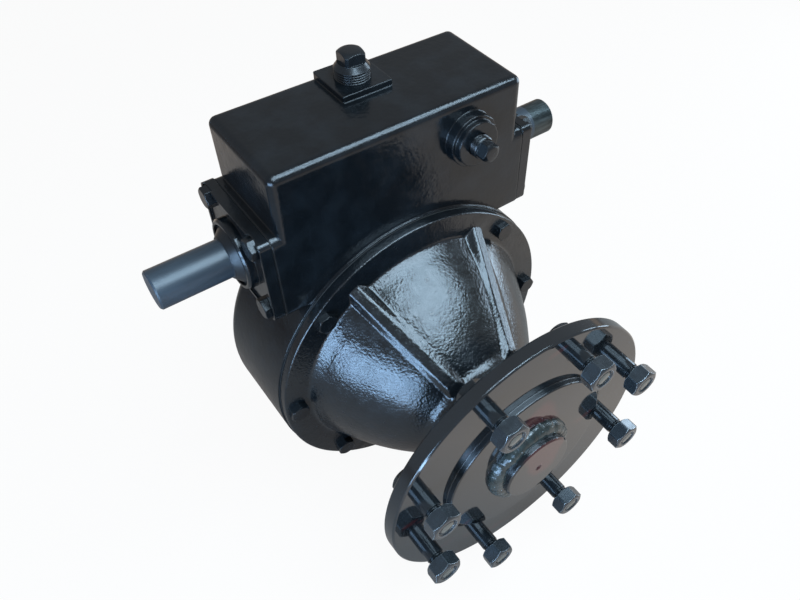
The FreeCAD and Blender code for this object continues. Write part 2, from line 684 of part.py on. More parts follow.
def case_hollows():
    """Everything cut from the casting: chambers, bores and threaded holes."""
    box_in_x = IN_SHOULDER_X + PAST
    fill_from = BOX_TOP_Z - CASE_WALL - PAST
    drain_from = -CASE_R - DRAIN_BOSS_H - PAST
    level_to = box_front(LEVEL_Z) + CASE_WALL + PAST
    tools = [
        rod_y(CASE_MOUTH_R, JOINT_Y - PAST, CHAMBER_FRONT_Y + PAST),
        rod_y(CHAMBER_R, CHAMBER_FRONT_Y, CHAMBER_BACK_Y),
        block(-box_in_x, box_in_x, box_front(BOX_TOP_Z) + CASE_WALL, CHAMBER_BACK_Y,
              BOX_BOTTOM_Z + BOX_FLOOR, BOX_TOP_Z - CASE_WALL),
        rod_x(IN_BEARING["outer"], -BOSS_X - PAST, BOSS_X + PAST),
        rod_y(REAR_BEARING["outer"], CHAMBER_BACK_Y - PAST, REAR_BOSS_Y + PAST),
        rod_y(SMALL_PLUG_R, level_seat_y() - PAST, level_to, LEVEL_X, LEVEL_Z),
        Part.makeCylinder(FILL_PLUG_R, PAD_TOP_Z + PAST - fill_from, Vector(0, FILL_Y, fill_from), UP),
        Part.makeCylinder(SMALL_PLUG_R, BLIND_ROOM - CHAMBER_R - drain_from,
                          Vector(0, GEAR_Y, drain_from), UP),
    ]
    for degrees in cover_bolt_angles():
        at = on_circle(COVER_BOLT_CIRCLE_R, degrees)
        depth = COVER_BOLT_L - FLANGE_T - GASKET_T + BLIND_ROOM
        tools.append(rod_y(BOLT_R, JOINT_Y - PAST, JOINT_Y + depth, at.x, at.z))
    for y, z in cap_bolt_places():
        hole = rod_x(BOLT_R, BOSS_X - cap_bolt_depth(), BOSS_X + PAST, y, z)
        tools += [hole, other_side(hole)]
    for at in rear_bolt_places():
        tools.append(rod_y(REAR_BOLT_R, REAR_BOSS_Y - REAR_HOLE_DEPTH, REAR_BOSS_Y + PAST, at.x, at.z))
    for x in (-MOUNT_X, MOUNT_X):
        for z in (-MOUNT_Z, MOUNT_Z):
            tools.append(rod_y(MOUNT_HOLE_R, MOUNT_FACE_Y - MOUNT_HOLE_DEPTH, MOUNT_FACE_Y + PAST, x, z))
    return tools


def cover_bolt_angles():
    """Angles of the cover's bolts, with the top one left out."""
    count = int(round(360 / COVER_BOLT_STEP_DEG))
    angles = [COVER_BOLT_STEP_DEG * k for k in range(count)]
    return [a for a in angles if a != COVER_BOLT_SKIP_DEG]


def cap_bolt_places():
    """(y, z) of the four bolts of a bearing cap."""
    out_y = CAP_HALF_Y - CAP_BOLT_IN_Y
    out_z = CAP_HALF_Z - CAP_BOLT_IN_Z
    return [(WORM_Y + sy * out_y, WORM_Z + sz * out_z) for sy in (-1, 1) for sz in (-1, 1)]


def cap_bolt_depth():
    """Depth of a cap bolt's threaded hole in the boss."""
    return CAP_BOLT_L - (CAP_T - CAP_RECESS) - SHIM_T + BLIND_ROOM


def rear_bolt_places():
    """Centres of the rear cover's bolts, on their circle."""
    return [on_circle(REAR_BOLT_CIRCLE_R, 360 / REAR_BOLT_COUNT * k) for k in range(REAR_BOLT_COUNT)]


def cone_arc_points():
    """(radius, y) of the cone's three circles, from the nose to the foot."""
    tip_r = NOSE_R + CONE_STEP
    tip_y = NOSE_Y + NOSE_L + CONE_STEP_L
    end_r = FOOT_TOP_R - CONE_FOOT_STEP
    end_y = FLANGE_Y - CONE_FOOT_L
    mid_r = tip_r + CONE_CROWN_AT * (end_r - tip_r) + CONE_CROWN
    mid_y = tip_y + CONE_CROWN_AT * (end_y - tip_y)
    return (tip_r, tip_y), (mid_r, mid_y), (end_r, end_y)


def cover_outside():
    """The bell's outer form: nose, crowned cone, foot and flange."""
    tip, mid, end = [Vector(r, y, 0) for r, y in cone_arc_points()]
    nose_end = Vector(NOSE_R, NOSE_Y + NOSE_L, 0)
    start = [Vector(0, NOSE_Y, 0), Vector(NOSE_R - NOSE_EDGE, NOSE_Y, 0),
             Vector(NOSE_R, NOSE_Y + NOSE_EDGE, 0), nose_end]
    finish = [end, Vector(FOOT_TOP_R, end.y, 0), Vector(FOOT_R, FLANGE_Y, 0), Vector(FLANGE_R, FLANGE_Y, 0),
              Vector(FLANGE_R, COVER_BACK_Y, 0), Vector(0, COVER_BACK_Y, 0), Vector(0, NOSE_Y, 0)]
    neck_mid = (nose_end + tip) * 0.5 + Vector(-CONE_STEP_BEND, CONE_STEP_BEND, 0)
    edges = [Part.makeLine(a, b) for a, b in zip(start, start[1:])]
    edges.append(Part.Arc(nose_end, neck_mid, tip).toShape())
    edges.append(Part.Arc(tip, mid, end).toShape())
    edges += [Part.makeLine(a, b) for a, b in zip(finish, finish[1:])]
    return Part.Face(Part.Wire(edges)).revolve(ORIGIN, BACK, 360)


def cover_rib(degrees):
    """A straight-topped rib from the flange to the nose."""
    foot_r = FOOT_R + RIB_FOOT_OUT
    tip_r = NOSE_R + RIB_TIP_OUT
    tip_y = NOSE_Y + NOSE_L - RIB_TIP_BACK
    corners = [(foot_r, FLANGE_Y + PAST), (foot_r, FLANGE_Y), (tip_r, tip_y), (NOSE_R - NOSE_WALL / 2, tip_y),
               (FOOT_R - CONE_WALL - PAST, FLANGE_Y + PAST)]
    face = polygon_face([Vector(r, y, -RIB_W / 2) for r, y in corners])
    rib = face.extrude(Vector(0, 0, RIB_W))
    ridge = [e for e in rib.Edges if e.BoundBox.ZLength < RIB_EDGE
             and e.BoundBox.YLength > COVER_L / 2 and e.BoundBox.XMax > foot_r - PAST]
    rib = rib.makeFillet(RIB_EDGE, ridge)
    return turned_about_y(rib, degrees)


def cover_hollow():
    """The space inside the bell, from the front bearing to the case."""
    _, mid, end = cone_arc_points()
    inner_tip_y = FRONT_CONE_BACK_Y + HOLLOW_STEP_L
    inner_tip = Vector(FRONT_BEARING["outer"] + HOLLOW_STEP, inner_tip_y, 0)
    inner_mid = Vector(mid[0] - CROWN_WALL, mid[1], 0)
    inner_end = Vector(end[0] - CONE_WALL, end[1], 0)
    mouth = Vector(CASE_MOUTH_R - SPIGOT_WALL, COVER_BACK_Y + SPIGOT_L + PAST, 0)
    edges = [Part.makeLine(Vector(0, inner_tip_y, 0), inner_tip),
             Part.Arc(inner_tip, inner_mid, inner_end).toShape(),
             Part.makeLine(inner_end, mouth),
             Part.makeLine(mouth, Vector(0, mouth.y, 0)),
             Part.makeLine(Vector(0, mouth.y, 0), Vector(0, inner_tip_y, 0))]
    return Part.Face(Part.Wire(edges)).revolve(ORIGIN, BACK, 360)


def output_cover():
    """The ribbed bell that carries the front bearing and seal of the output shaft."""
    solids = [cover_outside()]
    solids += [cover_rib(a) for a in (RIB_DEG, 180 - RIB_DEG, 180 + RIB_DEG, 360 - RIB_DEG)]
    solids.append(tube_y(CASE_MOUTH_R - SPIGOT_WALL, CASE_MOUTH_R - RUN_FIT, COVER_BACK_Y - PAST,
                         COVER_BACK_Y + SPIGOT_L))
    bell = fused(solids)
    tools = [
        cover_hollow(),
        rod_y(OUT_SEAL_R, NOSE_Y - PAST, SEAL_Y + OUT_SEAL_W),
        rod_y(OUT_SHAFT_R + NOSE_WEB_ROOM, NOSE_Y - PAST, FRONT_CUP_Y + PAST),
        rod_y(FRONT_BEARING["outer"], FRONT_CUP_Y, FRONT_CONE_BACK_Y + HOLLOW_STEP_L + PAST),
    ]
    for degrees in cover_bolt_angles():
        at = on_circle(COVER_BOLT_CIRCLE_R, degrees)
        tools.append(rod_y(BOLT_R + BOLT_ROOM, FLANGE_Y - PAST, COVER_BACK_Y + PAST, at.x, at.z))
        tools.append(rod_y(SPOTFACE_R, FLANGE_Y - CONE_FOOT_L, FLANGE_Y + SPOTFACE_DEPTH, at.x, at.z))
    return cut_all(bell, tools)


def cover_gasket():
    """The thin ring between the cover and the case."""
    ring = tube_y(CASE_MOUTH_R, FLANGE_R, COVER_BACK_Y, JOINT_Y)
    holes = []
    for degrees in cover_bolt_angles():
        at = on_circle(COVER_BOLT_CIRCLE_R, degrees)
        holes.append(rod_y(BOLT_R + BOLT_ROOM, COVER_BACK_Y - PAST, JOINT_Y + PAST, at.x, at.z))
    return cut_all(ring, holes)


def cover_bolts():
    """The hexagon bolts round the cover's flange."""
    bolt = hex_bolt(BOLT_HEAD_AF, BOLT_HEAD_T, BOLT_R, COVER_BOLT_L)
    seat_y = FLANGE_Y + SPOTFACE_DEPTH
    bolts = []
    for k, degrees in enumerate(cover_bolt_angles()):
        seat = on_circle(COVER_BOLT_CIRCLE_R, degrees, seat_y)
        bolts.append(stood(bolt, seat, FRONT, COVER_BOLT_TURN * k))
    return Part.makeCompound(bolts)


def cap_outline(x0, x1, half_y, half_z, corner):
    """A block with rounded corners, centred on the worm axis."""
    plate = block(x0, x1, WORM_Y - half_y, WORM_Y + half_y, WORM_Z - half_z, WORM_Z + half_z)
    corners = [e for e in plate.Edges if e.BoundBox.XLength > e.BoundBox.DiagonalLength / 2]
    return plate.makeFillet(corner, corners)


def bearing_cap():
    """The right bearing cap: a rectangular flange with a round hub for the seal."""
    flange = cap_outline(CAP_X, CAP_FACE_X, CAP_HALF_Y, CAP_HALF_Z, CAP_CORNER)
    recess = cap_outline(CAP_FACE_X - CAP_RECESS, CAP_FACE_X + PAST, CAP_HALF_Y - CAP_RIM_W,
                         CAP_HALF_Z - CAP_RIM_W, CAP_CORNER - CAP_RIM_W)
    flange = flange.cut(recess)
    hub = turned_x([(0, CAP_X), (CAP_HUB_R, CAP_X), (CAP_HUB_R, CAP_HUB_END - CAP_HUB_EDGE),
                    (CAP_HUB_R - CAP_HUB_EDGE, CAP_HUB_END), (0, CAP_HUB_END)])
    spigot = rod_x(IN_BEARING["outer"] - RUN_FIT, IN_CUP_X, CAP_X + PAST)
    cap = fused([flange, hub, spigot])
    tools = [
        rod_x(CAP_BORE_R, IN_CUP_X - PAST, IN_SEAL_X - CAP_WEB),
        rod_x(IN_SEAT_R + CAP_NECK_ROOM, IN_CUP_X, IN_SEAL_X + PAST),
        rod_x(IN_SEAL_R, IN_SEAL_X, CAP_HUB_END + PAST),
    ]
    for y, z in cap_bolt_places():
        tools.append(rod_x(BOLT_R + BOLT_ROOM, CAP_X - PAST, CAP_FACE_X + PAST, y, z))
        tools.append(rod_x(SPOTFACE_R, CAP_FACE_X - CAP_RECESS, CAP_FACE_X + PAST, y, z))
    return cut_all(cap, tools)


def cap_shims():
    """The shims under the right cap."""
    plate = cap_outline(BOSS_X, CAP_X, CAP_HALF_Y - SHIM_INSET, CAP_HALF_Z - SHIM_INSET, CAP_CORNER)
    tools = [rod_x(IN_BEARING["outer"], BOSS_X - PAST, CAP_X + PAST)]
    for y, z in cap_bolt_places():
        tools.append(rod_x(BOLT_R + BOLT_ROOM, BOSS_X - PAST, CAP_X + PAST, y, z))
    return cut_all(plate, tools)


def cap_bolts():
    """The four bolts of the right cap."""
    bolt = hex_bolt(BOLT_HEAD_AF, BOLT_HEAD_T, BOLT_R, CAP_BOLT_L)
    seat_x = CAP_FACE_X - CAP_RECESS
    return Part.makeCompound([stood(bolt, Vector(seat_x, y, z), RIGHT, CAP_BOLT_TURN * k)
                              for k, (y, z) in enumerate(cap_bolt_places())])


def seal_profile(shaft_r, outer_r, inside, outside):
    """(radius, place) corners of an oil seal whose lip points at the oil inside."""
    way = math.copysign(1, outside - inside)
    lip_r = shaft_r + RUN_FIT
    back = outside - way * SEAL_FACE_T
    wall_r = outer_r - SEAL_RING_T
    return [(outer_r, inside), (outer_r, outside), (lip_r + SEAL_LIP_RISE, outside), (lip_r, back),
            (lip_r, inside + way * SEAL_LIP_T), (lip_r + SEAL_LIP_RISE, inside),
            (lip_r + SEAL_LIP_RISE + SEAL_LIP_T, back), (wall_r, back), (wall_r, inside)]


def input_seal():
    """The right oil seal, a ring with a lip that runs on the shaft."""
    return turned_x(seal_profile(IN_SEAT_R, IN_SEAL_R, IN_SEAL_X, IN_SEAL_X + IN_SEAL_W))


def dust_excluder():
    """The coned rubber ring that turns with the shaft in front of the right seal."""
    inside = IN_SEAL_X + IN_SEAL_W + EXCLUDER_GAP
    tip_r = IN_SEAT_R + EXCLUDER_TIP
    return turned_x([(IN_SEAT_R, inside), (IN_SEAT_R + EXCLUDER_BASE, inside),
                     (tip_r, IN_SEAT_END - EXCLUDER_EDGE), (tip_r - EXCLUDER_EDGE, IN_SEAT_END),
                     (IN_SEAT_R, IN_SEAT_END)])


def worm_shaft():
    """The input shaft with its one-start worm thread."""
    core_half = WORM_THREAD_L / 2 + WORM_CORE_MARGIN
    left = -IN_SEAT_END - IN_LEFT_L
    right = IN_SEAT_END + IN_RIGHT_L
    profile = [(0, left), (IN_END_R - IN_EDGE, left), (IN_END_R, left + IN_EDGE),
               (IN_END_R, -IN_SEAT_END), (IN_SEAT_R, -IN_SEAT_END), (IN_SEAT_R, -IN_SHOULDER_X),
               (IN_SHOULDER_R, -IN_SHOULDER_X), (IN_SHOULDER_R, -core_half), (WORM_ROOT_R, -core_half),
               (WORM_ROOT_R, core_half), (IN_SHOULDER_R, core_half), (IN_SHOULDER_R, IN_SHOULDER_X),
               (IN_SEAT_R, IN_SHOULDER_X), (IN_SEAT_R, IN_SEAT_END), (IN_END_R, IN_SEAT_END),
               (IN_END_R, right - IN_EDGE), (IN_END_R - IN_EDGE, right), (0, right)]
    return turned_x(profile).fuse(worm_thread())


def worm_thread():
    """A straight-sided thread swept along a right-hand helix, crest at x = 0 under the axis."""
    turns = math.ceil(WORM_THREAD_L / LEAD / 2) + 1
    height = 2 * turns * LEAD
    base_r = WORM_ROOT_R - PAST
    half_pitch = (LEAD / 2 - TOOTH_BACKLASH / 2) / 2
    flank = math.tan(math.radians(PRESSURE_DEG))
    half_tip = half_pitch - (WORM_TIP_R - WORM_PITCH_R) * flank
    half_base = half_pitch + (WORM_PITCH_R - base_r) * flank
    helix = Part.makeHelix(LEAD, height, WORM_PITCH_R)
    corners = [Vector(base_r, 0, -half_base), Vector(WORM_TIP_R, 0, -half_tip),
               Vector(WORM_TIP_R, 0, half_tip), Vector(base_r, 0, half_base)]
    profile = Part.makePolygon(corners + corners[:1])
    thread = Part.Wire(helix.Edges).makePipeShell([profile], True, True)
    thread.translate(Vector(0, 0, -height / 2))
    thread = thread.common(thread_blank(base_r))
    return stood(thread, WORM_AXIS, RIGHT, 0)


def thread_blank(base_r):
    """The length of worm that keeps its thread, with both ends turned down at 45 degrees."""
    half = WORM_THREAD_L / 2
    outer_r = WORM_TIP_R + PAST
    run = outer_r - WORM_ROOT_R
    corners = [(base_r - PAST, -half), (WORM_ROOT_R, -half), (outer_r, -half + run),
               (outer_r, half - run), (WORM_ROOT_R, half), (base_r - PAST, half)]
    return polygon_face([Vector(r, 0, z) for r, z in corners]).revolve(ORIGIN, UP, 360)


def flank_angle(radius):
    """Half the angle that a gear tooth fills at a radius, on an involute flank."""
    base_r = GEAR_PITCH_R * math.cos(math.radians(PRESSURE_DEG))
    at_pitch = math.radians(PRESSURE_DEG)
    here = math.acos(base_r / radius)
    tooth = (LEAD / 2 - TOOTH_BACKLASH / 2) / 2 / GEAR_PITCH_R
    return tooth + (math.tan(at_pitch) - at_pitch) - (math.tan(here) - here)


def tooth_outline(y, twist):
    """The toothed outline of the gear in one plane across its axis."""
    tip_r = GEAR_EDGE_R + TOOTH_PAST_EDGE
    mid_r = (tip_r + GEAR_ROOT_R) / 2
    pitch = 2 * math.pi / GEAR_TEETH

    def at(radius, angle):
        return Vector(radius * math.sin(angle + twist), y, radius * math.cos(angle + twist))

    edges = []
    for k in range(GEAR_TEETH):
        centre = (k + 0.5) * pitch
        rise = [at(r, centre - flank_angle(r)) for r in (GEAR_ROOT_R, mid_r, tip_r)]
        fall = [at(r, centre + flank_angle(r)) for r in (tip_r, mid_r, GEAR_ROOT_R)]
        after = at(GEAR_ROOT_R, centre + pitch - flank_angle(GEAR_ROOT_R))
        edges.append(Part.Arc(*rise).toShape())
        edges.append(Part.makeLine(rise[2], fall[0]))
        edges.append(Part.Arc(*fall).toShape())
        edges.append(Part.makeLine(fall[2], after))
    return Part.Wire(edges)


def half_blank(side, hub_y, throat_half):
    """(radius, y) corners of one side of the gear's blank, from the bore to the throat."""
    rim_r = GEAR_ROOT_R - GEAR_RIM_T
    web_y = GEAR_Y + side * GEAR_WEB_T / 2
    fillet_y = web_y + side * GEAR_FILLET
    face_y = GEAR_Y + side * GEAR_FACE_W / 2
    return [(OUT_GEAR_SEAT_R, hub_y), (GEAR_HUB_R - GEAR_DRAFT, hub_y), (GEAR_HUB_R + GEAR_DRAFT, fillet_y),
            (GEAR_HUB_R + GEAR_DRAFT + GEAR_FILLET, web_y), (rim_r - GEAR_FILLET, web_y), (rim_r, fillet_y),
            (rim_r + GEAR_DRAFT, face_y), (GEAR_EDGE_R - GEAR_EDGE, face_y),
            (GEAR_EDGE_R, face_y - side * GEAR_EDGE), (GEAR_EDGE_R, GEAR_Y + side * throat_half)]


def gear_blank():
    """The turned blank: hub, web and a rim with a throat that clears the worm."""
    throat_r = WORM_ROOT_R + THROAT_CUT
    throat_half = math.sqrt(throat_r ** 2 - (CENTRE_DISTANCE - GEAR_EDGE_R) ** 2)
    front = [Vector(r, y, 0) for r, y in half_blank(-1, HUB_FRONT_Y, throat_half)]
    back = [Vector(r, y, 0) for r, y in reversed(half_blank(1, HUB_BACK_Y, throat_half))]
    throat_bottom = Vector(CENTRE_DISTANCE - throat_r, GEAR_Y, 0)
    edges = [Part.makeLine(a, b) for a, b in zip(front, front[1:])]
    edges.append(Part.Arc(front[-1], throat_bottom, back[0]).toShape())
    edges += [Part.makeLine(a, b) for a, b in zip(back, back[1:])]
    edges.append(Part.makeLine(back[-1], front[0]))
    return Part.Face(Part.Wire(edges)).revolve(ORIGIN, BACK, 360)


def bull_gear():
    """The worm wheel: helical involute teeth on the throated blank, with a keyway."""
    half_w = GEAR_FACE_W / 2 + PAST
    lead_slope = LEAD / (2 * math.pi * WORM_PITCH_R)
    twist = half_w * lead_slope / GEAR_PITCH_R
    outlines = [tooth_outline(GEAR_Y + side * half_w, side * twist) for side in (-1, 1)]
    teeth = Part.makeLoft(outlines, True, True)
    blank = gear_blank()
    front = min(HUB_FRONT_Y, GEAR_Y - half_w) - PAST
    back = max(HUB_BACK_Y, GEAR_Y + half_w) + PAST
    inner = tube_y(OUT_THREAD_R, GEAR_ROOT_R - GEAR_RIM_T / 2, front, back)
    rim = teeth.cut(inner).common(blank)
    body = blank.common(inner)
    gear = rim.fuse(body).removeSplitter()
    return gear.cut(keyway(front, back))


def key_bottom():
    """Height of the bottom of the key in the output shaft."""
    return OUT_GEAR_SEAT_R - KEY_DEPTH


def keyway(y0, y1):
    """The slot in the gear's bore."""
    return block(-KEY_W / 2, KEY_W / 2, y0, y1, key_bottom(), key_bottom() + KEY_H + KEY_ROOM)


def gear_key():
    """The key between the gear and the output shaft."""
    return block(-KEY_W / 2, KEY_W / 2, GEAR_Y - KEY_L / 2, GEAR_Y + KEY_L / 2, key_bottom(),
                 key_bottom() + KEY_H)


def output_shaft():
    """The stepped output shaft."""
    front = -OUT_SHAFT_PROUD
    profile = [(0, front + OUT_CENTRE_R), (OUT_CENTRE_R, front), (OUT_SHAFT_R - OUT_SHAFT_EDGE, front),
               (OUT_SHAFT_R, front + OUT_SHAFT_EDGE), (OUT_SHAFT_R, SHAFT_SHOULDER_Y),
               (OUT_GEAR_SEAT_R, SHAFT_SHOULDER_Y), (OUT_GEAR_SEAT_R, HUB_BACK_Y),
               (OUT_REAR_SEAT_R, HUB_BACK_Y), (OUT_REAR_SEAT_R, REAR_CONE_END_Y),
               (OUT_THREAD_R, REAR_CONE_END_Y), (OUT_THREAD_R, SHAFT_TAIL_Y - OUT_SHAFT_EDGE),
               (OUT_THREAD_R - OUT_SHAFT_EDGE, SHAFT_TAIL_Y), (0, SHAFT_TAIL_Y)]
    return turned_y(profile).cut(gear_key())


def front_spacer():
    """The tube between the front bearing and the gear's hub."""
    return tube_y(OUT_GEAR_SEAT_R, OUT_GEAR_SEAT_R + SPACER_WALL, FRONT_CONE_BACK_Y, HUB_FRONT_Y)


def lock_washer():
    """The tabbed washer under the lock nut, here a plain ring."""
    return tube_y(OUT_THREAD_R, LOCK_NUT_R - LOCK_WASHER_INSET, REAR_CONE_END_Y, LOCK_NUT_Y)


def lock_nut():
    """The slotted round nut at the rear of the output shaft."""
    end = LOCK_NUT_Y + LOCK_NUT_T
    ring = tube_y(OUT_THREAD_R, LOCK_NUT_R, LOCK_NUT_Y, end)
    slots = []
    for k in range(LOCK_SLOTS):
        slot = block(LOCK_NUT_R - LOCK_SLOT_DEPTH, LOCK_NUT_R + PAST, LOCK_NUT_Y - PAST, end + PAST,
                     -LOCK_SLOT_W / 2, LOCK_SLOT_W / 2)
        slots.append(turned_about_y(slot, 360 / LOCK_SLOTS * k))
    return cut_all(ring, slots)


def wheel_plate():
    """The round plate that carries the wheel, with its raised pilot."""
    front = -PILOT_H
    rim_r = PLATE_R - PLATE_EDGE
    plate = turned_y([(OUT_SHAFT_R, front), (PILOT_R - PILOT_EDGE, front), (PILOT_R, front + PILOT_EDGE),
                      (PILOT_R, 0), (rim_r, 0), (PLATE_R, PLATE_EDGE), (PLATE_R, PLATE_T - PLATE_EDGE),
                      (rim_r, PLATE_T), (OUT_SHAFT_R, PLATE_T)])
    holes = [rod_y(STUD_SEAT_R, -PAST, PLATE_T + PAST, p.x, p.z) for p in stud_places()]
    return cut_all(plate, holes)


def stud_places():
    """Centres of the wheel studs."""
    return [on_circle(STUD_CIRCLE_R, STUD_FIRST_DEG + 360 / STUD_COUNT * k) for k in range(STUD_COUNT)]


def wheel_stud():
    """A wheel stud along +Z: head below z = 0, pressed seat, plain shank, then the threaded end."""
    grip = PLATE_T + WHEEL_GRIP - STUD_RUNOUT
    length = PLATE_T + WHEEL_GRIP + WHEEL_NUT_T - STUD_END_INSET
    head = chamfered_hex(STUD_HEAD_AF, STUD_HEAD_T, False)
    head.rotate(ORIGIN, RIGHT, 180)
    outline = [(0, -PAST), (STUD_SEAT_R, -PAST), (STUD_SEAT_R, PLATE_T), (STUD_R, PLATE_T),
               (STUD_R, grip), (STUD_THREAD_R, grip), (STUD_THREAD_R, length - STUD_EDGE),
               (STUD_THREAD_R - STUD_EDGE, length), (0, length)]
    bar = polygon_face([Vector(r, 0, z) for r, z in outline]).revolve(ORIGIN, UP, 360)
    return fused([head, bar])


def wheel_studs():
    """The studs, with their heads behind the plate."""
    stud = wheel_stud()
    return Part.makeCompound([stood(stud, p + Vector(0, PLATE_T, 0), FRONT, 0) for p in stud_places()])


def wheel_nuts():
    """The nuts on the studs, each turned to where it stopped."""
    nut = chamfered_hex(WHEEL_NUT_AF, WHEEL_NUT_T, True)
    nut = nut.cut(Part.makeCylinder(STUD_THREAD_R, WHEEL_NUT_T + 2 * PAST, Vector(0, 0, -PAST)))
    nuts = []
    for k, place in enumerate(stud_places()):
        turn = WHEEL_NUT_TURNS[k % len(WHEEL_NUT_TURNS)]
        nuts.append(stood(nut, place + Vector(0, -WHEEL_GRIP, 0), FRONT, turn))
    return Part.makeCompound(nuts)


def shaft_weld():
    """The bead that joins the wheel plate to the shaft."""
    corner = Vector(OUT_SHAFT_R, -PILOT_H, 0)
    outer = corner + Vector(WELD_LEG_R, 0, 0)
    top = corner + Vector(0, -WELD_LEG_Y, 0)
    bulge = corner + Vector(WELD_LEG_R, -WELD_LEG_Y, 0) * WELD_BULGE
    edges = [Part.makeLine(corner, outer), Part.Arc(outer, bulge, top).toShape(), Part.makeLine(top, corner)]
    return Part.Face(Part.Wire(edges)).revolve(ORIGIN, BACK, 360)


def output_seal():
    """The oil seal in the nose, with its lip on the shaft."""
    return turned_y(seal_profile(OUT_SHAFT_R, OUT_SEAL_R, SEAL_Y + OUT_SEAL_W, SEAL_Y))


def rear_cover():
    """The round cap over the rear bearing, with a spigot that seats its cup."""
    base = REAR_BOSS_Y + SHIM_T
    face = base + REAR_COVER_T
    pocket = SHAFT_TAIL_Y + REAR_POCKET_GAP
    dome = pocket + REAR_DOME_WALL
    spigot_r = REAR_BEARING["outer"] - RUN_FIT
    inner_r = spigot_r - REAR_SPIGOT_WALL
    cap = turned_y([(0, pocket), (inner_r, pocket), (inner_r, REAR_CUP_Y), (spigot_r, REAR_CUP_Y),
                    (spigot_r, base), (REAR_BOSS_R, base), (REAR_BOSS_R, face), (REAR_DOME_R, face),
                    (REAR_DOME_R - REAR_DOME_DRAFT, dome), (0, dome)])
    holes = [rod_y(REAR_BOLT_R + BOLT_ROOM, base - PAST, face + PAST, p.x, p.z) for p in rear_bolt_places()]
    return cut_all(cap, holes)


def rear_shims():
    """The shims under the rear cover."""
    ring = tube_y(REAR_BEARING["outer"], REAR_BOSS_R, REAR_BOSS_Y, REAR_BOSS_Y + SHIM_T)
    holes = [rod_y(REAR_BOLT_R + BOLT_ROOM, REAR_BOSS_Y - PAST, REAR_BOSS_Y + SHIM_T + PAST, p.x, p.z)
             for p in rear_bolt_places()]
    return cut_all(ring, holes)


def rear_bolts():
    """The bolts of the rear cover."""
    length = REAR_COVER_T + SHIM_T + REAR_HOLE_DEPTH - BLIND_ROOM
    bolt = hex_bolt(REAR_BOLT_AF, REAR_BOLT_HEAD_T, REAR_BOLT_R, length)
    seat_y = REAR_BOSS_Y + SHIM_T + REAR_COVER_T
    return Part.makeCompound([stood(bolt, p + Vector(0, seat_y, 0), BACK, 0) for p in rear_bolt_places()])


def fill_plug():
    """The pipe plug in the pad on top."""
    plug = square_plug(FILL_PLUG_R, FILL_IN, FILL_PROUD, FILL_CONE_H, FILL_PLUG_R - FILL_SHOULDER,
                       FILL_HEAD_AF, FILL_HEAD_H)
    return stood(plug, Vector(0, FILL_Y, PAD_TOP_Z), UP, FILL_HEAD_TURN)


def small_plug():
    """The pipe plug used for the oil level and the drain."""
    return square_plug(SMALL_PLUG_R, SMALL_IN, SMALL_PROUD, 0, SMALL_PLUG_R, SMALL_HEAD_AF, SMALL_HEAD_H)


def all_nodes():
    """Every node of the gearbox by name."""
    nodes = {
        "gear_case": gear_case(),
        "output_cover": output_cover(),
        "cover_gasket": cover_gasket(),
        "cover_bolts": cover_bolts(),
        "worm_shaft": worm_shaft(),
        "bull_gear": bull_gear(),
        "gear_key": gear_key(),
        "output_shaft": output_shaft(),
        "front_spacer": front_spacer(),
        "lock_washer": lock_washer(),
        "lock_nut": lock_nut(),
        "wheel_plate": wheel_plate(),
        "wheel_studs": wheel_studs(),
        "wheel_nuts": wheel_nuts(),
        "shaft_weld": shaft_weld(),
        "output_seal": output_seal(),
        "rear_cover": rear_cover(),
        "rear_cover_shims": rear_shims(),
        "rear_cover_bolts": rear_bolts(),
        "fill_plug": fill_plug(),
        "level_plug": stood(small_plug(), Vector(LEVEL_X, level_seat_y(), LEVEL_Z), FRONT, SMALL_HEAD_TURN),
        "drain_plug": stood(small_plug(), Vector(0, GEAR_Y, -CASE_R - DRAIN_BOSS_H), DOWN),
    }
    right_side = {"bearing_cap": bearing_cap(), "cap_shims": cap_shims(), "cap_bolts": cap_bolts(),
                  "input_seal": input_seal(), "dust_excluder": dust_excluder()}
    for piece, shape in bearing(IN_BEARING, WORM_AXIS + Vector(IN_SHOULDER_X, 0, 0), RIGHT).items():
        right_side["input_" + piece] = shape
    for piece, shape in right_side.items():
        nodes["right_" + piece] = shape
        nodes["left_" + piece] = other_side(shape)
    for piece, shape in bearing(FRONT_BEARING, Vector(0, FRONT_CONE_BACK_Y, 0), FRONT).items():
        nodes["front_output_" + piece] = shape
    for piece, shape in bearing(REAR_BEARING, Vector(0, HUB_BACK_Y, 0), BACK).items():
        nodes["rear_output_" + piece] = shape
    return nodes


def main():
    os.makedirs("parts", exist_ok=True)
    for name, shape in all_nodes().items():
        shape.exportStep(os.path.join("parts", name + ".step"))


main()
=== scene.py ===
import math

import bmesh
import bpy
from bpy.props import FloatProperty, FloatVectorProperty, IntProperty, PointerProperty
from mathutils import Matrix, Vector, noise


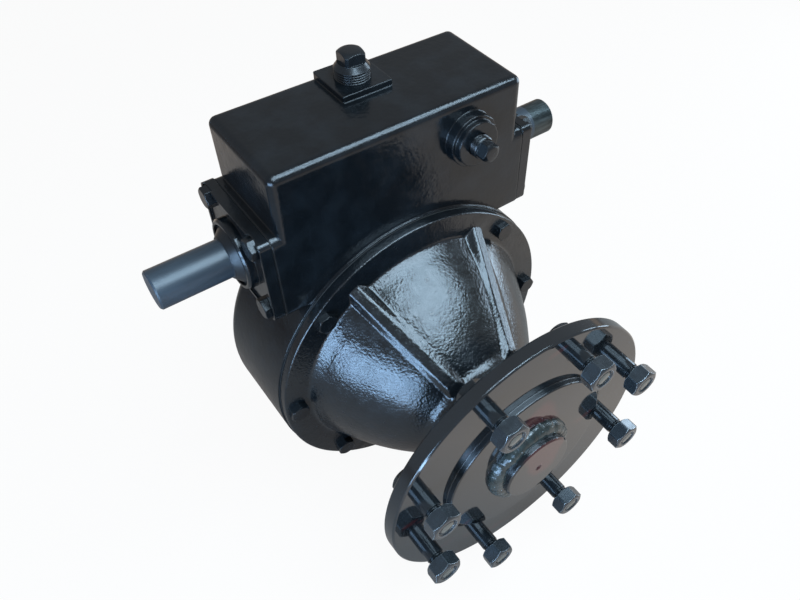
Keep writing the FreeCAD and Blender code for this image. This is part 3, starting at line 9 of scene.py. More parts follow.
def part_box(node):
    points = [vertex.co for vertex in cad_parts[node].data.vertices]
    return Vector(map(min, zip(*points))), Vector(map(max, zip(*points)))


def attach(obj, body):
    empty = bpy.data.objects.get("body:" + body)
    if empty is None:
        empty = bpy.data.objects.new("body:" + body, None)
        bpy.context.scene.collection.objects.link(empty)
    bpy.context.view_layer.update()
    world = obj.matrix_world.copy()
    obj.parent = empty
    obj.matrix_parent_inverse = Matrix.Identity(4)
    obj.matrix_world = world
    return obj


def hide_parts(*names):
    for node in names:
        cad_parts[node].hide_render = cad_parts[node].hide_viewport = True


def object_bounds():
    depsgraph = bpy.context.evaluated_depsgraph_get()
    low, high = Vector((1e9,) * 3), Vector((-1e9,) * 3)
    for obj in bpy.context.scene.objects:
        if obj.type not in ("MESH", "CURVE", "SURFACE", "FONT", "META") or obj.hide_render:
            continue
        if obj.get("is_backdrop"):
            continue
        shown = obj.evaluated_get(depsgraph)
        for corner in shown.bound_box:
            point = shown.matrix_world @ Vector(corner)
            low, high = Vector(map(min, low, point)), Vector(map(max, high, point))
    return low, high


bl_info = {
    "name": "Center Pivot Gearbox",
    "version": (1, 0, 0),
    "blender": (4, 5, 0),
    "location": "View3D > Sidebar > Gearbox",
    "description": "Dresses the packed worm gearbox: castings, fixings, weld and stage",
    "category": "Object",
}

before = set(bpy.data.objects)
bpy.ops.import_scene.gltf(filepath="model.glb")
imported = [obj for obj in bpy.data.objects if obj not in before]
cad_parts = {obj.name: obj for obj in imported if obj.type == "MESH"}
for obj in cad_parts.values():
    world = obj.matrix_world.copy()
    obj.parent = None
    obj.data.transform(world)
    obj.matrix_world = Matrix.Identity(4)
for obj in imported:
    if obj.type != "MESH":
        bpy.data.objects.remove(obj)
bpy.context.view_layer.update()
MM = 0.001
UP = Vector((0.0, 0.0, 1.0))
TO_WHEEL = Vector((0.0, -1.0, 0.0))
SHARP = math.radians(32.0)
TOUCH = 0.1 * MM
MERGE = 0.001 * MM
RING_STEPS = 48


def length(name, description, metres):
    """A size that the sidebar shows in the scene's units."""
    return FloatProperty(name=name, description=description, default=metres, min=0.0, unit="LENGTH",
                         precision=4)


def angle(name, description, degrees):
    """An angle that the sidebar shows in degrees."""
    return FloatProperty(name=name, description=description, default=math.radians(degrees),
                         unit="ROTATION")


def share(name, description, value):
    """A number from 0 to 1."""
    return FloatProperty(name=name, description=description, default=value, min=0.0, max=1.0,
                         subtype="FACTOR")


def count(name, description, value):
    """A whole number of repeats."""
    return IntProperty(name=name, description=description, default=value, min=1)


def power(name, description, watts):
    """The power of a bank of lamps."""
    return FloatProperty(name=name, description=description, default=watts, min=0.0, unit="POWER")


def colour(name, description, value):
    """A colour in linear light."""
    return FloatVectorProperty(name=name, description=description, default=value, size=3, min=0.0,
                               max=1.0, subtype="COLOR")


class CoverSizes(bpy.types.PropertyGroup):
    """Sizes of the ribbed output cover."""

    nose_r: length("Nose radius", "Outer radius of the nose", 0.052)
    nose_y: length("Nose front", "Place of the nose's front face along the shaft", 0.024)
    nose_end: length("Nose end", "Where the nose meets the cone", 0.052)
    seal_r: length("Seal bore", "Radius of the seal's bore", 0.0425)
    web_r: length("Web bore", "Radius of the bore behind the seal", 0.037)
    cup_r: length("Bearing bore", "Radius of the front bearing's bore", 0.045)
    neck: length("Neck", "Radius of the bend between nose and cone", 0.020)
    cone_tip_r: length("Cone tip", "Radius where the cone begins", 0.0596)
    cone_tip_y: length("Cone tip place", "Where the cone begins", 0.060)
    cone_end_r: length("Cone end", "Radius where the cone ends", 0.1026)
    cone_end_y: length("Cone end place", "Where the cone ends", 0.127)
    crown: length("Crown", "How far the cone bulges", 0.0037)
    foot_r: length("Foot radius", "Radius where the foot meets the flange", 0.107)
    flange_r: length("Flange radius", "Outer radius of the flange", 0.129)
    flange_front: length("Flange front", "Front face of the flange", 0.1356)
    flange_back: length("Flange back", "Back face of the flange", 0.1437)
    wall: length("Wall", "Thickness of the bell's wall", 0.009)
    crown_at: share("Crown's place", "Where the cone bulges most, from its tip to its end", 0.45)
    rib_width: length("Rib width", "Width of a rib at half its height", 0.0130)
    rib_blend: length("Rib blend", "Width of a rib's sloping side", 0.0066)
    uneven: length("Unevenness", "How far the cast skin wanders in and out", 0.00016)
    rib_foot_r: length("Rib foot", "Height of a rib at the flange", 0.1165)
    rib_tip_r: length("Rib tip", "Height of a rib at the nose", 0.057)
    rib_tip_y: length("Rib tip place", "Where a rib ends at the nose", 0.050)
    rib_angle: angle("Rib angle", "Angle of each rib from the horizontal", 60.0)


class FixingSizes(bpy.types.PropertyGroup):
    """Sizes of the wheel studs and their nuts."""

    circle_r: length("Stud circle", "Radius of the circle of studs", 0.1016)
    studs: count("Studs", "How many studs the plate has", 8)
    first: angle("First stud", "Angle of the first stud from the horizontal", 24.5)
    stud_r: length("Shank radius", "Radius of a stud's plain shank", 0.00714)
    seat_r: length("Seat radius", "Radius of a stud where it is pressed into the plate", 0.0076)
    thread_r: length("Thread radius", "Radius over a stud's thread", 0.0067)
    pitch: length("Thread pitch", "Pitch of a stud's thread", 0.0014)
    plate: length("Plate", "Thickness of the wheel plate", 0.0118)
    grip: length("Grip", "From the plate to the nuts", 0.0165)
    runout: length("Runout", "Thread that shows behind a nut", 0.003)
    nut_flats: length("Nut width", "Width across a nut's flats", 0.0222)
    nut_height: length("Nut height", "Thickness of a nut", 0.0123)
    end_inset: length("End inset", "From a nut's face to the stud's end", 0.0004)
    head_flats: length("Head width", "Width across a stud's head", 0.0206)
    head_height: length("Head height", "Thickness of a stud's head", 0.0087)
    countersink: length("Countersink", "Depth of the countersink in a nut", 0.0012)


class WeldSizes(bpy.types.PropertyGroup):
    """Sizes of the bead between the plate and the output shaft."""

    ring_r: length("Ring", "Radius of the shaft that the bead goes round", 0.030)
    seat_y: length("Seat", "Height of the pilot's face over the plate", 0.0051)
    bead_r: length("Bead", "Radius of the bead's section", 0.0074)
    lump_r: length("Lumps", "How far the bead's lumps stand out", 0.0021)
    ripples: count("Ripples", "Weld ripples round the shaft", 30)


class PlugSizes(bpy.types.PropertyGroup):
    """Sizes of the pipe plugs."""

    fill_r: length("Fill plug radius", "Radius over the fill plug's thread", 0.0129)
    fill_shoulder_r: length("Fill plug shoulder", "Radius of the shoulder under the square", 0.0100)
    fill_proud: length("Fill plug thread", "Thread that stands out of the pad", 0.008)
    fill_cone: length("Fill plug cone", "Height of the cone under the square", 0.0032)
    fill_head: length("Fill plug square", "Height of the square", 0.0083)
    fill_flats: length("Fill plug width", "Width across the square", 0.016)
    fill_turn: angle("Fill plug turn", "How far a corner of the square is turned from +X", 42.0)
    small_r: length("Small plug radius", "Radius over a small plug's thread", 0.0085)
    small_proud: length("Small plug thread", "Thread that stands out of its boss", 0.006)
    small_head: length("Small plug square", "Height of the square", 0.0089)
    small_flats: length("Small plug width", "Width across the square", 0.012)
    small_turn: angle("Small plug turn", "How far a corner of the square is turned from +X", 18.0)
    pitch: length("Pipe pitch", "Pitch of the pipe thread", 0.0018)
    depth: length("Thread depth", "Depth of the pipe thread", 0.001)


class Colours(bpy.types.PropertyGroup):
    """Colours of the gearbox's finishes."""

    enamel: colour("Enamel", "Black enamel of the castings", (0.004, 0.005, 0.006))
    enamel_high: colour("Enamel, thin", "Enamel where it is thin or dusty", (0.009, 0.011, 0.013))
    plate: colour("Plate", "Gloss black of the wheel plate", (0.008, 0.009, 0.010))
    steel: colour("Nut steel", "Dark steel of the nuts", (0.022, 0.027, 0.031))
    worn: colour("Worn steel", "Steel where an edge is worn bright", (0.62, 0.66, 0.68))
    bare: colour("Stud end", "Bare steel of the stud ends", (0.100, 0.100, 0.085))
    shaft: colour("Shaft", "Dark steel of the input shaft", (0.020, 0.028, 0.036))
    oiled: colour("Shaft, oiled", "Bare steel of the shaft's right end under oil", (0.018, 0.024, 0.024))
    # painted highlight: bright streaks along the shaft's bare end stand in for reflections
    reflection_streak: colour("Shaft, streaks", "Bright streaks on the shaft's right end", (0.11, 0.13, 0.13))
    weld: colour("Weld", "Painted weld metal", (0.026, 0.036, 0.034))
    gear: colour("Gear iron", "Machined iron of the bull gear", (0.33, 0.33, 0.32))
    inner: colour("Inner steel", "Turned steel inside the case", (0.40, 0.40, 0.40))
    # painted reflection: the faint red on the plate stands in for a reflection of something red
    red_reflection: colour("Stain", "Faint red stains on the plate", (0.055, 0.014, 0.014))
    bearing: colour("Bearing steel", "Ground steel of the bearings", (0.60, 0.60, 0.60))
    rubber: colour("Rubber", "Rubber of the seals", (0.012, 0.012, 0.013))
    sheet: colour("Gasket", "Painted edge of the gasket sheet", (0.016, 0.015, 0.014))


class StageSizes(bpy.types.PropertyGroup):
    """Camera, floor and lamps."""

    lens: FloatProperty(name="Lens", description="Focal length of the camera", default=33.26, min=1.0,
                        unit="CAMERA")
    shift_x: FloatProperty(name="Shift across", description="Camera shift across", default=-0.0536)
    shift_y: FloatProperty(name="Shift up", description="Camera shift up", default=0.022)
    floor: colour("Floor", "Pale floor", (0.60, 0.55, 0.50))
    floor_seen: share("White floor", "How much of the floor is seen as plain white", 0.94)
    floor_share: share("Floor share", "How much of the floor's glow gloss shows, not its lit paint", 0.65)
    # painted light: the floor's glow in gloss, brighter ahead and dimmer near the gearbox as painted
    # shade
    floor_glow: colour("Floor in gloss", "What gloss shows of the floor", (0.78, 0.61, 0.47))
    key: power("Key lamp", "Power of the soft lamp overhead", 31.0)
    left: power("Left lamp", "Power of the cool lamp on the left", 27.0)
    right: power("Right lamp", "Power of the lamp on the right", 8.0)
    key_tint: colour("Key tint", "Colour of the lamp overhead", (0.57, 0.80, 1.0))
    left_tint: colour("Left tint", "Colour of the lamp on the left", (0.38, 0.64, 1.0))
    right_tint: colour("Right tint", "Colour of the lamp on the right", (0.60, 0.80, 1.0))
    sky: FloatProperty(name="Sky", description="Strength of the light from all round", default=0.18,
                       min=0.0)
    sky_tint: colour("Sky tint", "Colour of the light from all round", (0.90, 0.95, 1.0))
    sky_share: share("Sky share", "How much of the white background gloss shows over the floor", 0.155)


class Tree:
    """A node tree while it is built."""

    def __init__(self, owner):
        owner.use_nodes = True
        self.tree = owner.node_tree
        self.tree.nodes.clear()

    def node(self, kind, inputs=None, **settings):
        """Adds a node with its settings, and feeds its inputs."""
        made = self.tree.nodes.new("ShaderNode" + kind)
        for key, value in settings.items():
            setattr(made, key, value)
        for key, value in (inputs or {}).items():
            self.feed(made.inputs[key], value)
        return made

    def feed(self, target, value):
        """Gives an input a number, a colour or another node's output."""
        if isinstance(value, bpy.types.NodeSocket):
            self.tree.links.new(value, target)
        elif target.type == "RGBA":
            target.default_value = (*value, 1.0)
        else:
            target.default_value = value

    def sum(self, first, second, operation="ADD"):
        """Joins two values."""
        return self.node("Math", {0: first, 1: second}, operation=operation).outputs["Value"]

    def times(self, first, second):
        """One value times another."""
        return self.sum(first, second, "MULTIPLY")

    def mix(self, factor, first, second):
        """Goes from one shader to another as the factor rises."""
        return self.node("MixShader", {0: factor, 1: first, 2: second}).outputs["Shader"]


class Finish(Tree):
    """A material while it is built, with its shader and the scene's colours."""

    def __init__(self, name):
        self.material = bpy.data.materials.new(name)
        super().__init__(self.material)
        self.look = bpy.context.scene.gearbox_colours
        self.shader = self.node("BsdfPrincipled")
        self.output = self.node("OutputMaterial", {"Surface": self.shader.outputs["BSDF"]})
        self.place = self.node("TexCoord").outputs["Object"]

    def set(self, **values):
        """Sets the shader's own sockets, such as coat_weight for Coat Weight."""
        for key, value in values.items():
            self.feed(self.shader.inputs[key.replace("_", " ").title().replace("Ior", "IOR")], value)

    def noise(self, size, detail=2.0, rough=0.5, stretch=(1.0, 1.0, 1.0)):
        """Noise whose grains are about size metres across."""
        place = self.node("Mapping", {"Vector": self.place, "Scale": stretch}).outputs["Vector"]
        return self.node("TexNoise", {"Vector": place, "Scale": 1.0 / size, "Detail": detail,
                                      "Roughness": rough}).outputs["Fac"]

    def pebbles(self, size):
        """Round soft grains about size metres apart, high in their middles."""
        grains = self.node("TexVoronoi", {"Vector": self.place, "Scale": 1.0 / size, "Smoothness": 0.5},
                           feature="SMOOTH_F1")
        return self.sum(1.0, grains.outputs["Distance"], "SUBTRACT")

    def remap(self, value, low, high, to_low=0.0, to_high=1.0):
        """Stretches a range of a value onto another, and clamps it."""
        return self.node("MapRange", {"Value": value, "From Min": low, "From Max": high,
                                      "To Min": to_low, "To Max": to_high}).outputs["Result"]

    def blend(self, factor, first, second):
        """Goes from one colour to another as the factor rises."""
        return self.node("Mix", {0: factor, 6: first, 7: second}, data_type="RGBA").outputs[2]

    def bump(self, height, depth, normal=None):
        """Turns a height from 0 to 1 into relief of a depth in metres."""
        under = {} if normal is None else {"Normal": normal}
        return self.node("Bump", {"Height": height, "Distance": depth, **under}).outputs["Normal"]

    def soft_edges(self, radius):
        """The surface's normal with its edges rounded."""
        return self.node("Bevel", {"Radius": radius}, samples=6).outputs["Normal"]

    def edges(self, radius):
        """1 at edges and 0 on flats."""
        flat = self.node("NewGeometry").outputs["Normal"]
        dot = self.node("VectorMath", {0: self.soft_edges(radius), 1: flat}, operation="DOT_PRODUCT")
        return self.remap(self.sum(1.0, dot.outputs["Value"], "SUBTRACT"), 0.004, 0.05)

    def spot(self, centre, reach):
        """Distance from a point, 1 at a reach along each axis. A reach of 0 leaves that axis out."""
        scale = [1 / r if r else 0.0 for r in reach]
        move = [-c * k for c, k in zip(centre, scale)]
        place = self.node("Mapping", {"Vector": self.place, "Location": move, "Scale": scale})
        away = self.node("VectorMath", {0: place.outputs["Vector"]}, operation="LENGTH")
        return away.outputs["Value"]

    def axis(self, name, vector=None):
        """One coordinate of the place, or of another vector."""
        source = self.place if vector is None else vector
        return self.node("SeparateXYZ", {"Vector": source}).outputs[name]


def shade(value, factor):
    """A colour made lighter or darker."""
    return [c * factor for c in value]


def enamel(name, grain, relief, rough, wave, edge, ior=1.5):
    """Black enamel over a sand casting: grain of a size and relief, long waves, and rounded edges."""
    finish = Finish(name)
    look = finish.look
    dust = finish.remap(finish.noise(30 * MM, 4.0, 0.6), 0.45, 0.75)
    finish.set(base_color=finish.blend(dust, look.enamel, look.enamel_high), ior=ior,
               roughness=finish.remap(finish.noise(8 * MM, 3.0), 0.3, 0.7, rough, rough + 0.14))
    waves = finish.bump(finish.noise(35 * MM), wave, finish.soft_edges(edge))
    coarse = finish.bump(finish.noise(grain * 3.0), relief * 0.8, waves)
    sand = finish.sum(finish.pebbles(grain * 1.5), finish.noise(grain, 2.0, 0.6))
    finish.set(normal=finish.bump(sand, relief * 0.6, coarse))
    return finish.material


def gloss_plate(name):
    """Mirror-like black paint on machined steel, rougher on upright walls, with a faint red patch and
    streaks: a painted red reflection in its colour.
    """
    patch_centre = (5 * MM, 0.0, 27 * MM)
    patch_reach = (22 * MM, 0.0, 40 * MM)
    pilot_reach = (80 * MM, 0.0, 80 * MM)
    finish = Finish(name)
    look = finish.look
    smear = finish.remap(finish.noise(40 * MM, 4.0, 0.65), 0.4, 0.8)
    body = finish.blend(smear, look.plate, look.enamel_high)
    facing = finish.axis("Y", finish.node("TexCoord").outputs["Normal"])
    flat = finish.remap(finish.sum(facing, 0.0, "ABSOLUTE"), 0.3, 0.8)
    # Painted reflection: a red patch and red streaks in the plate's colour, on its flat faces only.
    ragged = finish.sum(finish.spot(patch_centre, patch_reach),
                        finish.times(finish.noise(18 * MM, 3.0), 0.5))
    red_reflection_patch = finish.times(finish.remap(ragged, 1.25, 1.05), flat)
    reflection_streak = finish.remap(finish.noise(20 * MM, 2.0, 0.4, (0.5, 1.0, 1.6)), 0.66, 0.72, 0.0, 0.6)
    red_reflection_mask = finish.sum(red_reflection_patch, finish.times(reflection_streak, flat), "MAXIMUM")
    polish = finish.remap(finish.noise(25 * MM, 3.0), 0.3, 0.75, 0.02, 0.08)
    walls = finish.remap(finish.spot((0.0, 0.0, 0.0), pilot_reach), 0.98, 1.0, 0.20, 0.06)
    wavy = finish.bump(finish.noise(50 * MM, 1.0), 0.12 * MM, finish.soft_edges(0.9 * MM))
    upright = finish.sum(1.0, flat, "SUBTRACT")
    finish.set(base_color=finish.blend(red_reflection_mask, body, look.red_reflection), ior=1.72,
               roughness=finish.sum(polish, finish.times(upright, walls)),
               normal=finish.bump(finish.noise(3 * MM), 0.004 * MM, wavy))
    return finish.material


def dark_steel(name, base, rough, edge_wear=0.0, bare_below=None):
    """Dark oiled steel, with bright worn edges or a bare end where they are asked for."""
    finish = Finish(name)
    look = finish.look
    patches = finish.noise(6 * MM, 3.0, 0.6)
    body = finish.blend(finish.remap(patches, 0.35, 0.75), base, shade(base, 1.25))
    if edge_wear > 0:
        rubbed = finish.times(finish.edges(0.35 * MM), finish.remap(finish.noise(6 * MM), 0.30, 0.55))
        body = finish.blend(finish.times(rubbed, edge_wear), body, look.worn)
    if bare_below is not None:
        end = finish.remap(finish.axis("Y"), bare_below, bare_below + 0.1 * MM, 1.0, 0.0)
        body = finish.blend(end, body, look.bare)
    finish.set(base_color=body, metallic=0.35, ior=1.6, coat_weight=0.25, coat_roughness=0.12,
               roughness=finish.remap(patches, 0.3, 0.8, rough, rough + 0.15),
               normal=finish.bump(finish.noise(2 * MM), 0.01 * MM, finish.soft_edges(0.35 * MM)))
    return finish.material


def turned_steel(name, base, rough, mark=0.9 * MM):
    """Machined steel with fine tool marks and a little oil."""
    finish = Finish(name)
    patches = finish.remap(finish.noise(18 * MM, 4.0, 0.6), 0.35, 0.8)
    oil = finish.noise(6 * MM, 3.0)
    marks = finish.noise(mark, 1.0, 0.5, (1.0, 0.12, 1.0))
    finish.set(base_color=finish.blend(patches, shade(base, 0.8), base), metallic=1.0,
               roughness=finish.remap(oil, 0.3, 0.7, rough - 0.08, rough + 0.10),
               normal=finish.bump(marks, 0.008 * MM, finish.soft_edges(0.4 * MM)))
    return finish.material


def shaft_steel(name, paint_end):
    """The input shaft: dark paint near the caps, bare oiled steel at its right end with painted highlight
    streaks.
    """
    finish = Finish(name)
    look = finish.look
    ragged = finish.sum(finish.axis("X"), finish.times(finish.noise(12 * MM, 3.0), 1.5 * MM))
    bare = finish.remap(ragged, paint_end, paint_end + 0.3 * MM)
    streaks = finish.noise(9 * MM, 4.0, 0.6, (0.18, 1.0, 1.0))
    paint = finish.blend(finish.remap(streaks, 0.35, 0.75), look.shaft, shade(look.shaft, 1.7))
    # The bright streaks on the bare steel are a painted highlight.
    metal = finish.blend(finish.remap(streaks, 0.4, 0.7), look.oiled, look.reflection_streak)
    finish.set(base_color=finish.blend(bare, paint, metal), metallic=finish.times(bare, 0.8),
               roughness=finish.remap(streaks, 0.3, 0.8, 0.34, 0.48), ior=1.55,
               coat_weight=0.15, coat_roughness=0.25,
               normal=finish.bump(finish.noise(1.6 * MM, 3.0), 0.04 * MM, finish.soft_edges(0.6 * MM)))
    return finish.material


def weld_metal(name):
    """Painted weld metal with small bright spots in the worn steel's colour, spread at random."""
    finish = Finish(name)
    look = finish.look
    spots = finish.remap(finish.noise(2.4 * MM, 2.0, 0.6), 0.70, 0.74)
    patches = finish.remap(finish.noise(6 * MM, 3.0), 0.35, 0.7)
    body = finish.blend(patches, look.weld, shade(look.weld, 0.35))
    rough = finish.bump(finish.noise(3.5 * MM, 3.0), 0.4 * MM)
    finish.set(base_color=finish.blend(spots, body, look.worn), ior=1.6,
               roughness=finish.remap(finish.noise(3 * MM, 3.0), 0.3, 0.8, 0.16, 0.34),
               normal=finish.bump(finish.noise(0.9 * MM), 0.04 * MM, rough))
    return finish.material


def rubber(name):
    """Matt moulded rubber."""
    finish = Finish(name)
    black = finish.look.rubber
    bloom = finish.remap(finish.noise(6 * MM, 4.0, 0.6), 0.4, 0.8)
    finish.set(base_color=finish.blend(bloom, black, shade(black, 2.2)), ior=1.5,
               roughness=finish.remap(bloom, 0.0, 1.0, 0.55, 0.72),
               normal=finish.bump(finish.noise(0.8 * MM), 0.03 * MM, finish.soft_edges(0.5 * MM)))
    return finish.material


def gasket_sheet(name):
    """Pressed fibre sheet."""
    finish = Finish(name)
    sheet = finish.look.sheet
    fibres = finish.noise(1.2 * MM, 4.0, 0.7, (1.0, 0.4, 1.0))
    finish.set(base_color=finish.blend(fibres, sheet, shade(sheet, 0.5)), roughness=0.8,
               normal=finish.bump(fibres, 0.05 * MM))
    return finish.material


def dress(material, *nodes):
    """Gives CAD nodes a finish."""
    for name in nodes:
        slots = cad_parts[name].data.materials
        if not len(slots):
            slots.append(material)
        for index in range(len(slots)):
            slots[index] = material


def add_object(name, data):
    """Puts an object into the scene."""
    made = bpy.data.objects.new(name, data)
    bpy.context.scene.collection.objects.link(made)
    return made


def add_mesh(name, bm, material):
    """Puts a bmesh into the scene as an object of one material."""
    mesh = bpy.data.meshes.new(name)
    bm.to_mesh(mesh)
    bm.free()
    mesh.materials.append(material)
    return add_object(name, mesh)


def finish_piece(name, bm, material, body, replaced, sharp=SHARP):
    """Makes an object of a bmesh, and tells the frame what it is and which nodes it replaces."""
    bmesh.ops.remove_doubles(bm, verts=bm.verts, dist=MERGE)
    bmesh.ops.delete(bm, geom=[e for e in bm.edges if not e.link_faces], context="EDGES")
    bmesh.ops.recalc_face_normals(bm, faces=bm.faces)
    piece = add_mesh(name, bm, material)
    piece.data.shade_smooth()
    piece.data.set_sharp_from_angle(angle=sharp)
    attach(piece, body)
    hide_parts(*replaced)


def stood(base, direction, turn=0.0):
    """The transform that stands a +Z shape on a point, pointing a given way."""
    lean = UP.rotation_difference(direction).to_matrix().to_4x4()
    return Matrix.Translation(base) @ lean @ Matrix.Rotation(turn, 4, "Z")


def place_copies(bm, source, matrices):
    """Adds copies of one bmesh to another, and lets it go."""
    for matrix in matrices:
        mesh = bpy.data.meshes.new("copy")
        source.to_mesh(mesh)
        mesh.transform(matrix)
        bm.from_mesh(mesh)
        bpy.data.meshes.remove(mesh)
    source.free()


def drawn(bm, points, axis):
    """Draws a closed outline of (radius, along) corners beside an axis, ready to spin."""
    side = Vector((1.0, 0.0, 0.0))
    verts = [bm.verts.new(side * r + axis * a) for r, a in points]
    edges = [bm.edges.new(pair) for pair in zip(verts, verts[1:] + verts[:1])]
    return verts + edges


def spun(points, steps):
    """A closed outline of (radius, z) corners spun all the way round +Z."""
    bm = bmesh.new()
    outline = drawn(bm, points, UP)
    bmesh.ops.spin(bm, geom=outline, cent=(0, 0, 0), axis=UP, dvec=(0, 0, 0), angle=2 * math.pi,
                   steps=steps, use_merge=True, use_normal_flip=False, use_duplicate=False)
    return bm


def arc_through(a, b, c, steps):
    """Points on the circle through three (x, y) points, the first left out."""
    (ax, ay), (bx, by), (cx, cy) = a, b, c
    d = 2 * (ax * (by - cy) + bx * (cy - ay) + cx * (ay - by))
    sa, sb, sc = ax * ax + ay * ay, bx * bx + by * by, cx * cx + cy * cy
    ux = (sa * (by - cy) + sb * (cy - ay) + sc * (ay - by)) / d
    uy = (sa * (cx - bx) + sb * (ax - cx) + sc * (bx - ax)) / d
    start = math.atan2(ay - uy, ax - ux)
    end = math.atan2(cy - uy, cx - ux)
    sweep = (end - start + math.pi) % (2 * math.pi) - math.pi
    radius = math.hypot(ax - ux, ay - uy)
    turns = [start + sweep * (k + 1) / steps for k in range(steps)]
    return [(ux + radius * math.cos(t), uy + radius * math.sin(t)) for t in turns]


def rounded(points, radii, steps=3):
    """The corners of an outline, each rounded by its radius."""
    made = []
    total = len(points)
    for k, (x, y) in enumerate(points):
        here = Vector((x, y))
        before = Vector(points[k - 1]) - here
        after = Vector(points[(k + 1) % total]) - here
        radius = radii[k]
        turn = before.angle(after)
        if radius <= 0 or turn > math.pi - 0.02:
            made.append((x, y))
            continue
        reach = min(radius / math.tan(turn / 2), before.length * 0.49, after.length * 0.49)
        start = here + before.normalized() * reach
        end = here + after.normalized() * reach
        for step in range(steps + 1):
            t = step / steps
            at = start.lerp(here, t).lerp(here.lerp(end, t), t)
            made.append((at.x, at.y))
    return made


def smoothstep(low, high, value):
    """0 below low, 1 above high, and smooth between."""
    t = min(1.0, max(0.0, (value - low) / (high - low)))
    return t * t * (3 - 2 * t)


class GEARBOX_OT_stage(bpy.types.Operator):
    """Set the camera, the pale floor and the soft lamps"""

    bl_idname = "gearbox.stage"
    bl_label = "Stage"
    bl_options = {"REGISTER", "UNDO"}

    eye = (-0.23356, -0.19516, 0.49287)
    view = (0.40641, 0.51911, -0.75190)
    right = (0.79731, -0.60340, 0.01436)
    aim = (0.0, 0.1, 0.05)
    banks = (("key", (0.20, -0.32, 1.18), 1.35, 0.75, 5, 3),
             ("left", (-1.05, -0.48, 0.10), 1.10, 0.70, 3, 2),
             ("right", (1.15, 0.02, 0.22), 0.80, 0.60, 2, 2))
    filled = 0.8
    floor_half = 5.0
    glow_least = 0.28

    def bank(self, stage, name, place, size_x, size_y, across, up):
        """A bank of small soft panels that faces the gearbox, with gaps between the panels."""
        turn = (Vector(self.aim) - Vector(place)).to_track_quat("-Z", "Y")
        for column in range(across):
            for row in range(up):
                data = bpy.data.lights.new(f"{name}_{column}_{row}", "AREA")
                data.shape = "RECTANGLE"
                data.size = size_x / across * self.filled
                data.size_y = size_y / up * self.filled
                data.energy = getattr(stage, name) / (across * up)
                data.color = getattr(stage, name + "_tint")
                lamp = add_object(data.name, data)
                aside = Vector(((column + 0.5) / across - 0.5, (row + 0.5) / up - 0.5, 0.0))
                lamp.location = Vector(place) + turn @ Vector((aside.x * size_x, aside.y * size_y, 0.0))
                lamp.rotation_euler = turn.to_euler()
                lamp.visible_camera = False

    def camera(self, stage):
        """The camera at the photograph's angle."""
        data = bpy.data.cameras.new("camera")
        data.lens = stage.lens
        data.sensor_width = 36.0
        data.shift_x = stage.shift_x
        data.shift_y = stage.shift_y
        data.clip_start = 0.01
        camera = add_object("camera", data)
        forward = Vector(self.view).normalized()
        right = Vector(self.right).normalized()
        upward = right.cross(forward)
        turn = Matrix((right, upward, -forward)).transposed().to_4x4()
        camera.matrix_world = Matrix.Translation(self.eye) @ turn
        bpy.context.scene.camera = camera

    def floor(self, stage):
        """A wide pale floor under the gearbox.

        The camera sees it nearly white. Gloss sees its warm glow, a painted light bright in front and far
        behind, with painted shade near the gearbox.
        """
        bm = bmesh.new()
        bmesh.ops.create_grid(bm, x_segments=8, y_segments=8, size=self.floor_half)
        bmesh.ops.translate(bm, verts=bm.verts, vec=(0.0, 0.0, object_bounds()[0][2]))
        finish = Finish("floor_paint")
        finish.set(base_color=stage.floor, roughness=0.8)
        x = finish.axis("X")
        y = finish.axis("Y")
        # Painted light and shade: the glow is strongest in front and far behind, and dims near the
        # gearbox where its shadow falls.
        ahead = finish.sum(finish.times(x, 0.4), y, "SUBTRACT")
        ahead = finish.remap(ahead, 0.01, 0.12, self.glow_least, 1.0)
        behind = finish.times(finish.remap(y, 0.45, 0.75), finish.remap(x, -0.5, -0.2))
        glow = finish.sum(ahead, behind, "MAXIMUM")
        warm = finish.node("Emission", {"Color": stage.floor_glow, "Strength": glow})
        white = finish.node("Emission")
        path = finish.node("LightPath").outputs
        seen = finish.times(path["Is Camera Ray"], stage.floor_seen)
        shiny = finish.sum(path["Is Glossy Ray"], path["Is Transmission Ray"], "MAXIMUM")
        shiny = finish.times(shiny, stage.floor_share)
        for_camera = finish.mix(seen, finish.shader.outputs["BSDF"], white.outputs["Emission"])
        for_gloss = finish.mix(shiny, for_camera, warm.outputs["Emission"])
        finish.feed(finish.output.inputs["Surface"], for_gloss)
        add_mesh("floor", bm, finish.material)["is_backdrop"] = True

    def world(self, stage):
        """Even light from all round, white where the camera sees it."""
        world = bpy.data.worlds.new("studio")
        bpy.context.scene.world = world
        sky = Tree(world)
        even = sky.node("Background", {"Color": stage.sky_tint, "Strength": stage.sky})
        white = sky.node("Background", {"Color": (1.0, 1.0, 1.0)})
        path = sky.node("LightPath").outputs
        seen = sky.sum(sky.times(path["Is Glossy Ray"], stage.sky_share), path["Is Camera Ray"])
        clear = sky.sum(seen, path["Is Transmission Ray"], "MAXIMUM")
        mixed = sky.mix(clear, even.outputs["Background"], white.outputs["Background"])
        sky.node("OutputWorld", {"Surface": mixed})

    def execute(self, context):
        stage = context.scene.gearbox_stage
        context.scene.view_settings.view_transform = "Standard"
        self.camera(stage)
        self.floor(stage)
        self.world(stage)
        for bank in self.banks:
            self.bank(stage, *bank)
        return {"FINISHED"}


class GEARBOX_OT_castings(bpy.types.Operator):
    """Enamel the gear case, the bearing caps and the rear cover"""

    bl_idname = "gearbox.castings"
    bl_label = "Castings"
    bl_options = {"REGISTER", "UNDO"}

    def execute(self, context):
        case = enamel("case_enamel", 2.0 * MM, 0.10 * MM, rough=0.10, wave=0.35 * MM, edge=1.6 * MM,
                      ior=1.46)
        caps = enamel("cap_enamel", 1.8 * MM, 0.06 * MM, rough=0.10, wave=0.10 * MM, edge=1.0 * MM)
        dress(case, "gear_case")
        dress(caps, "left_bearing_cap", "right_bearing_cap", "rear_cover")
        return {"FINISHED"}


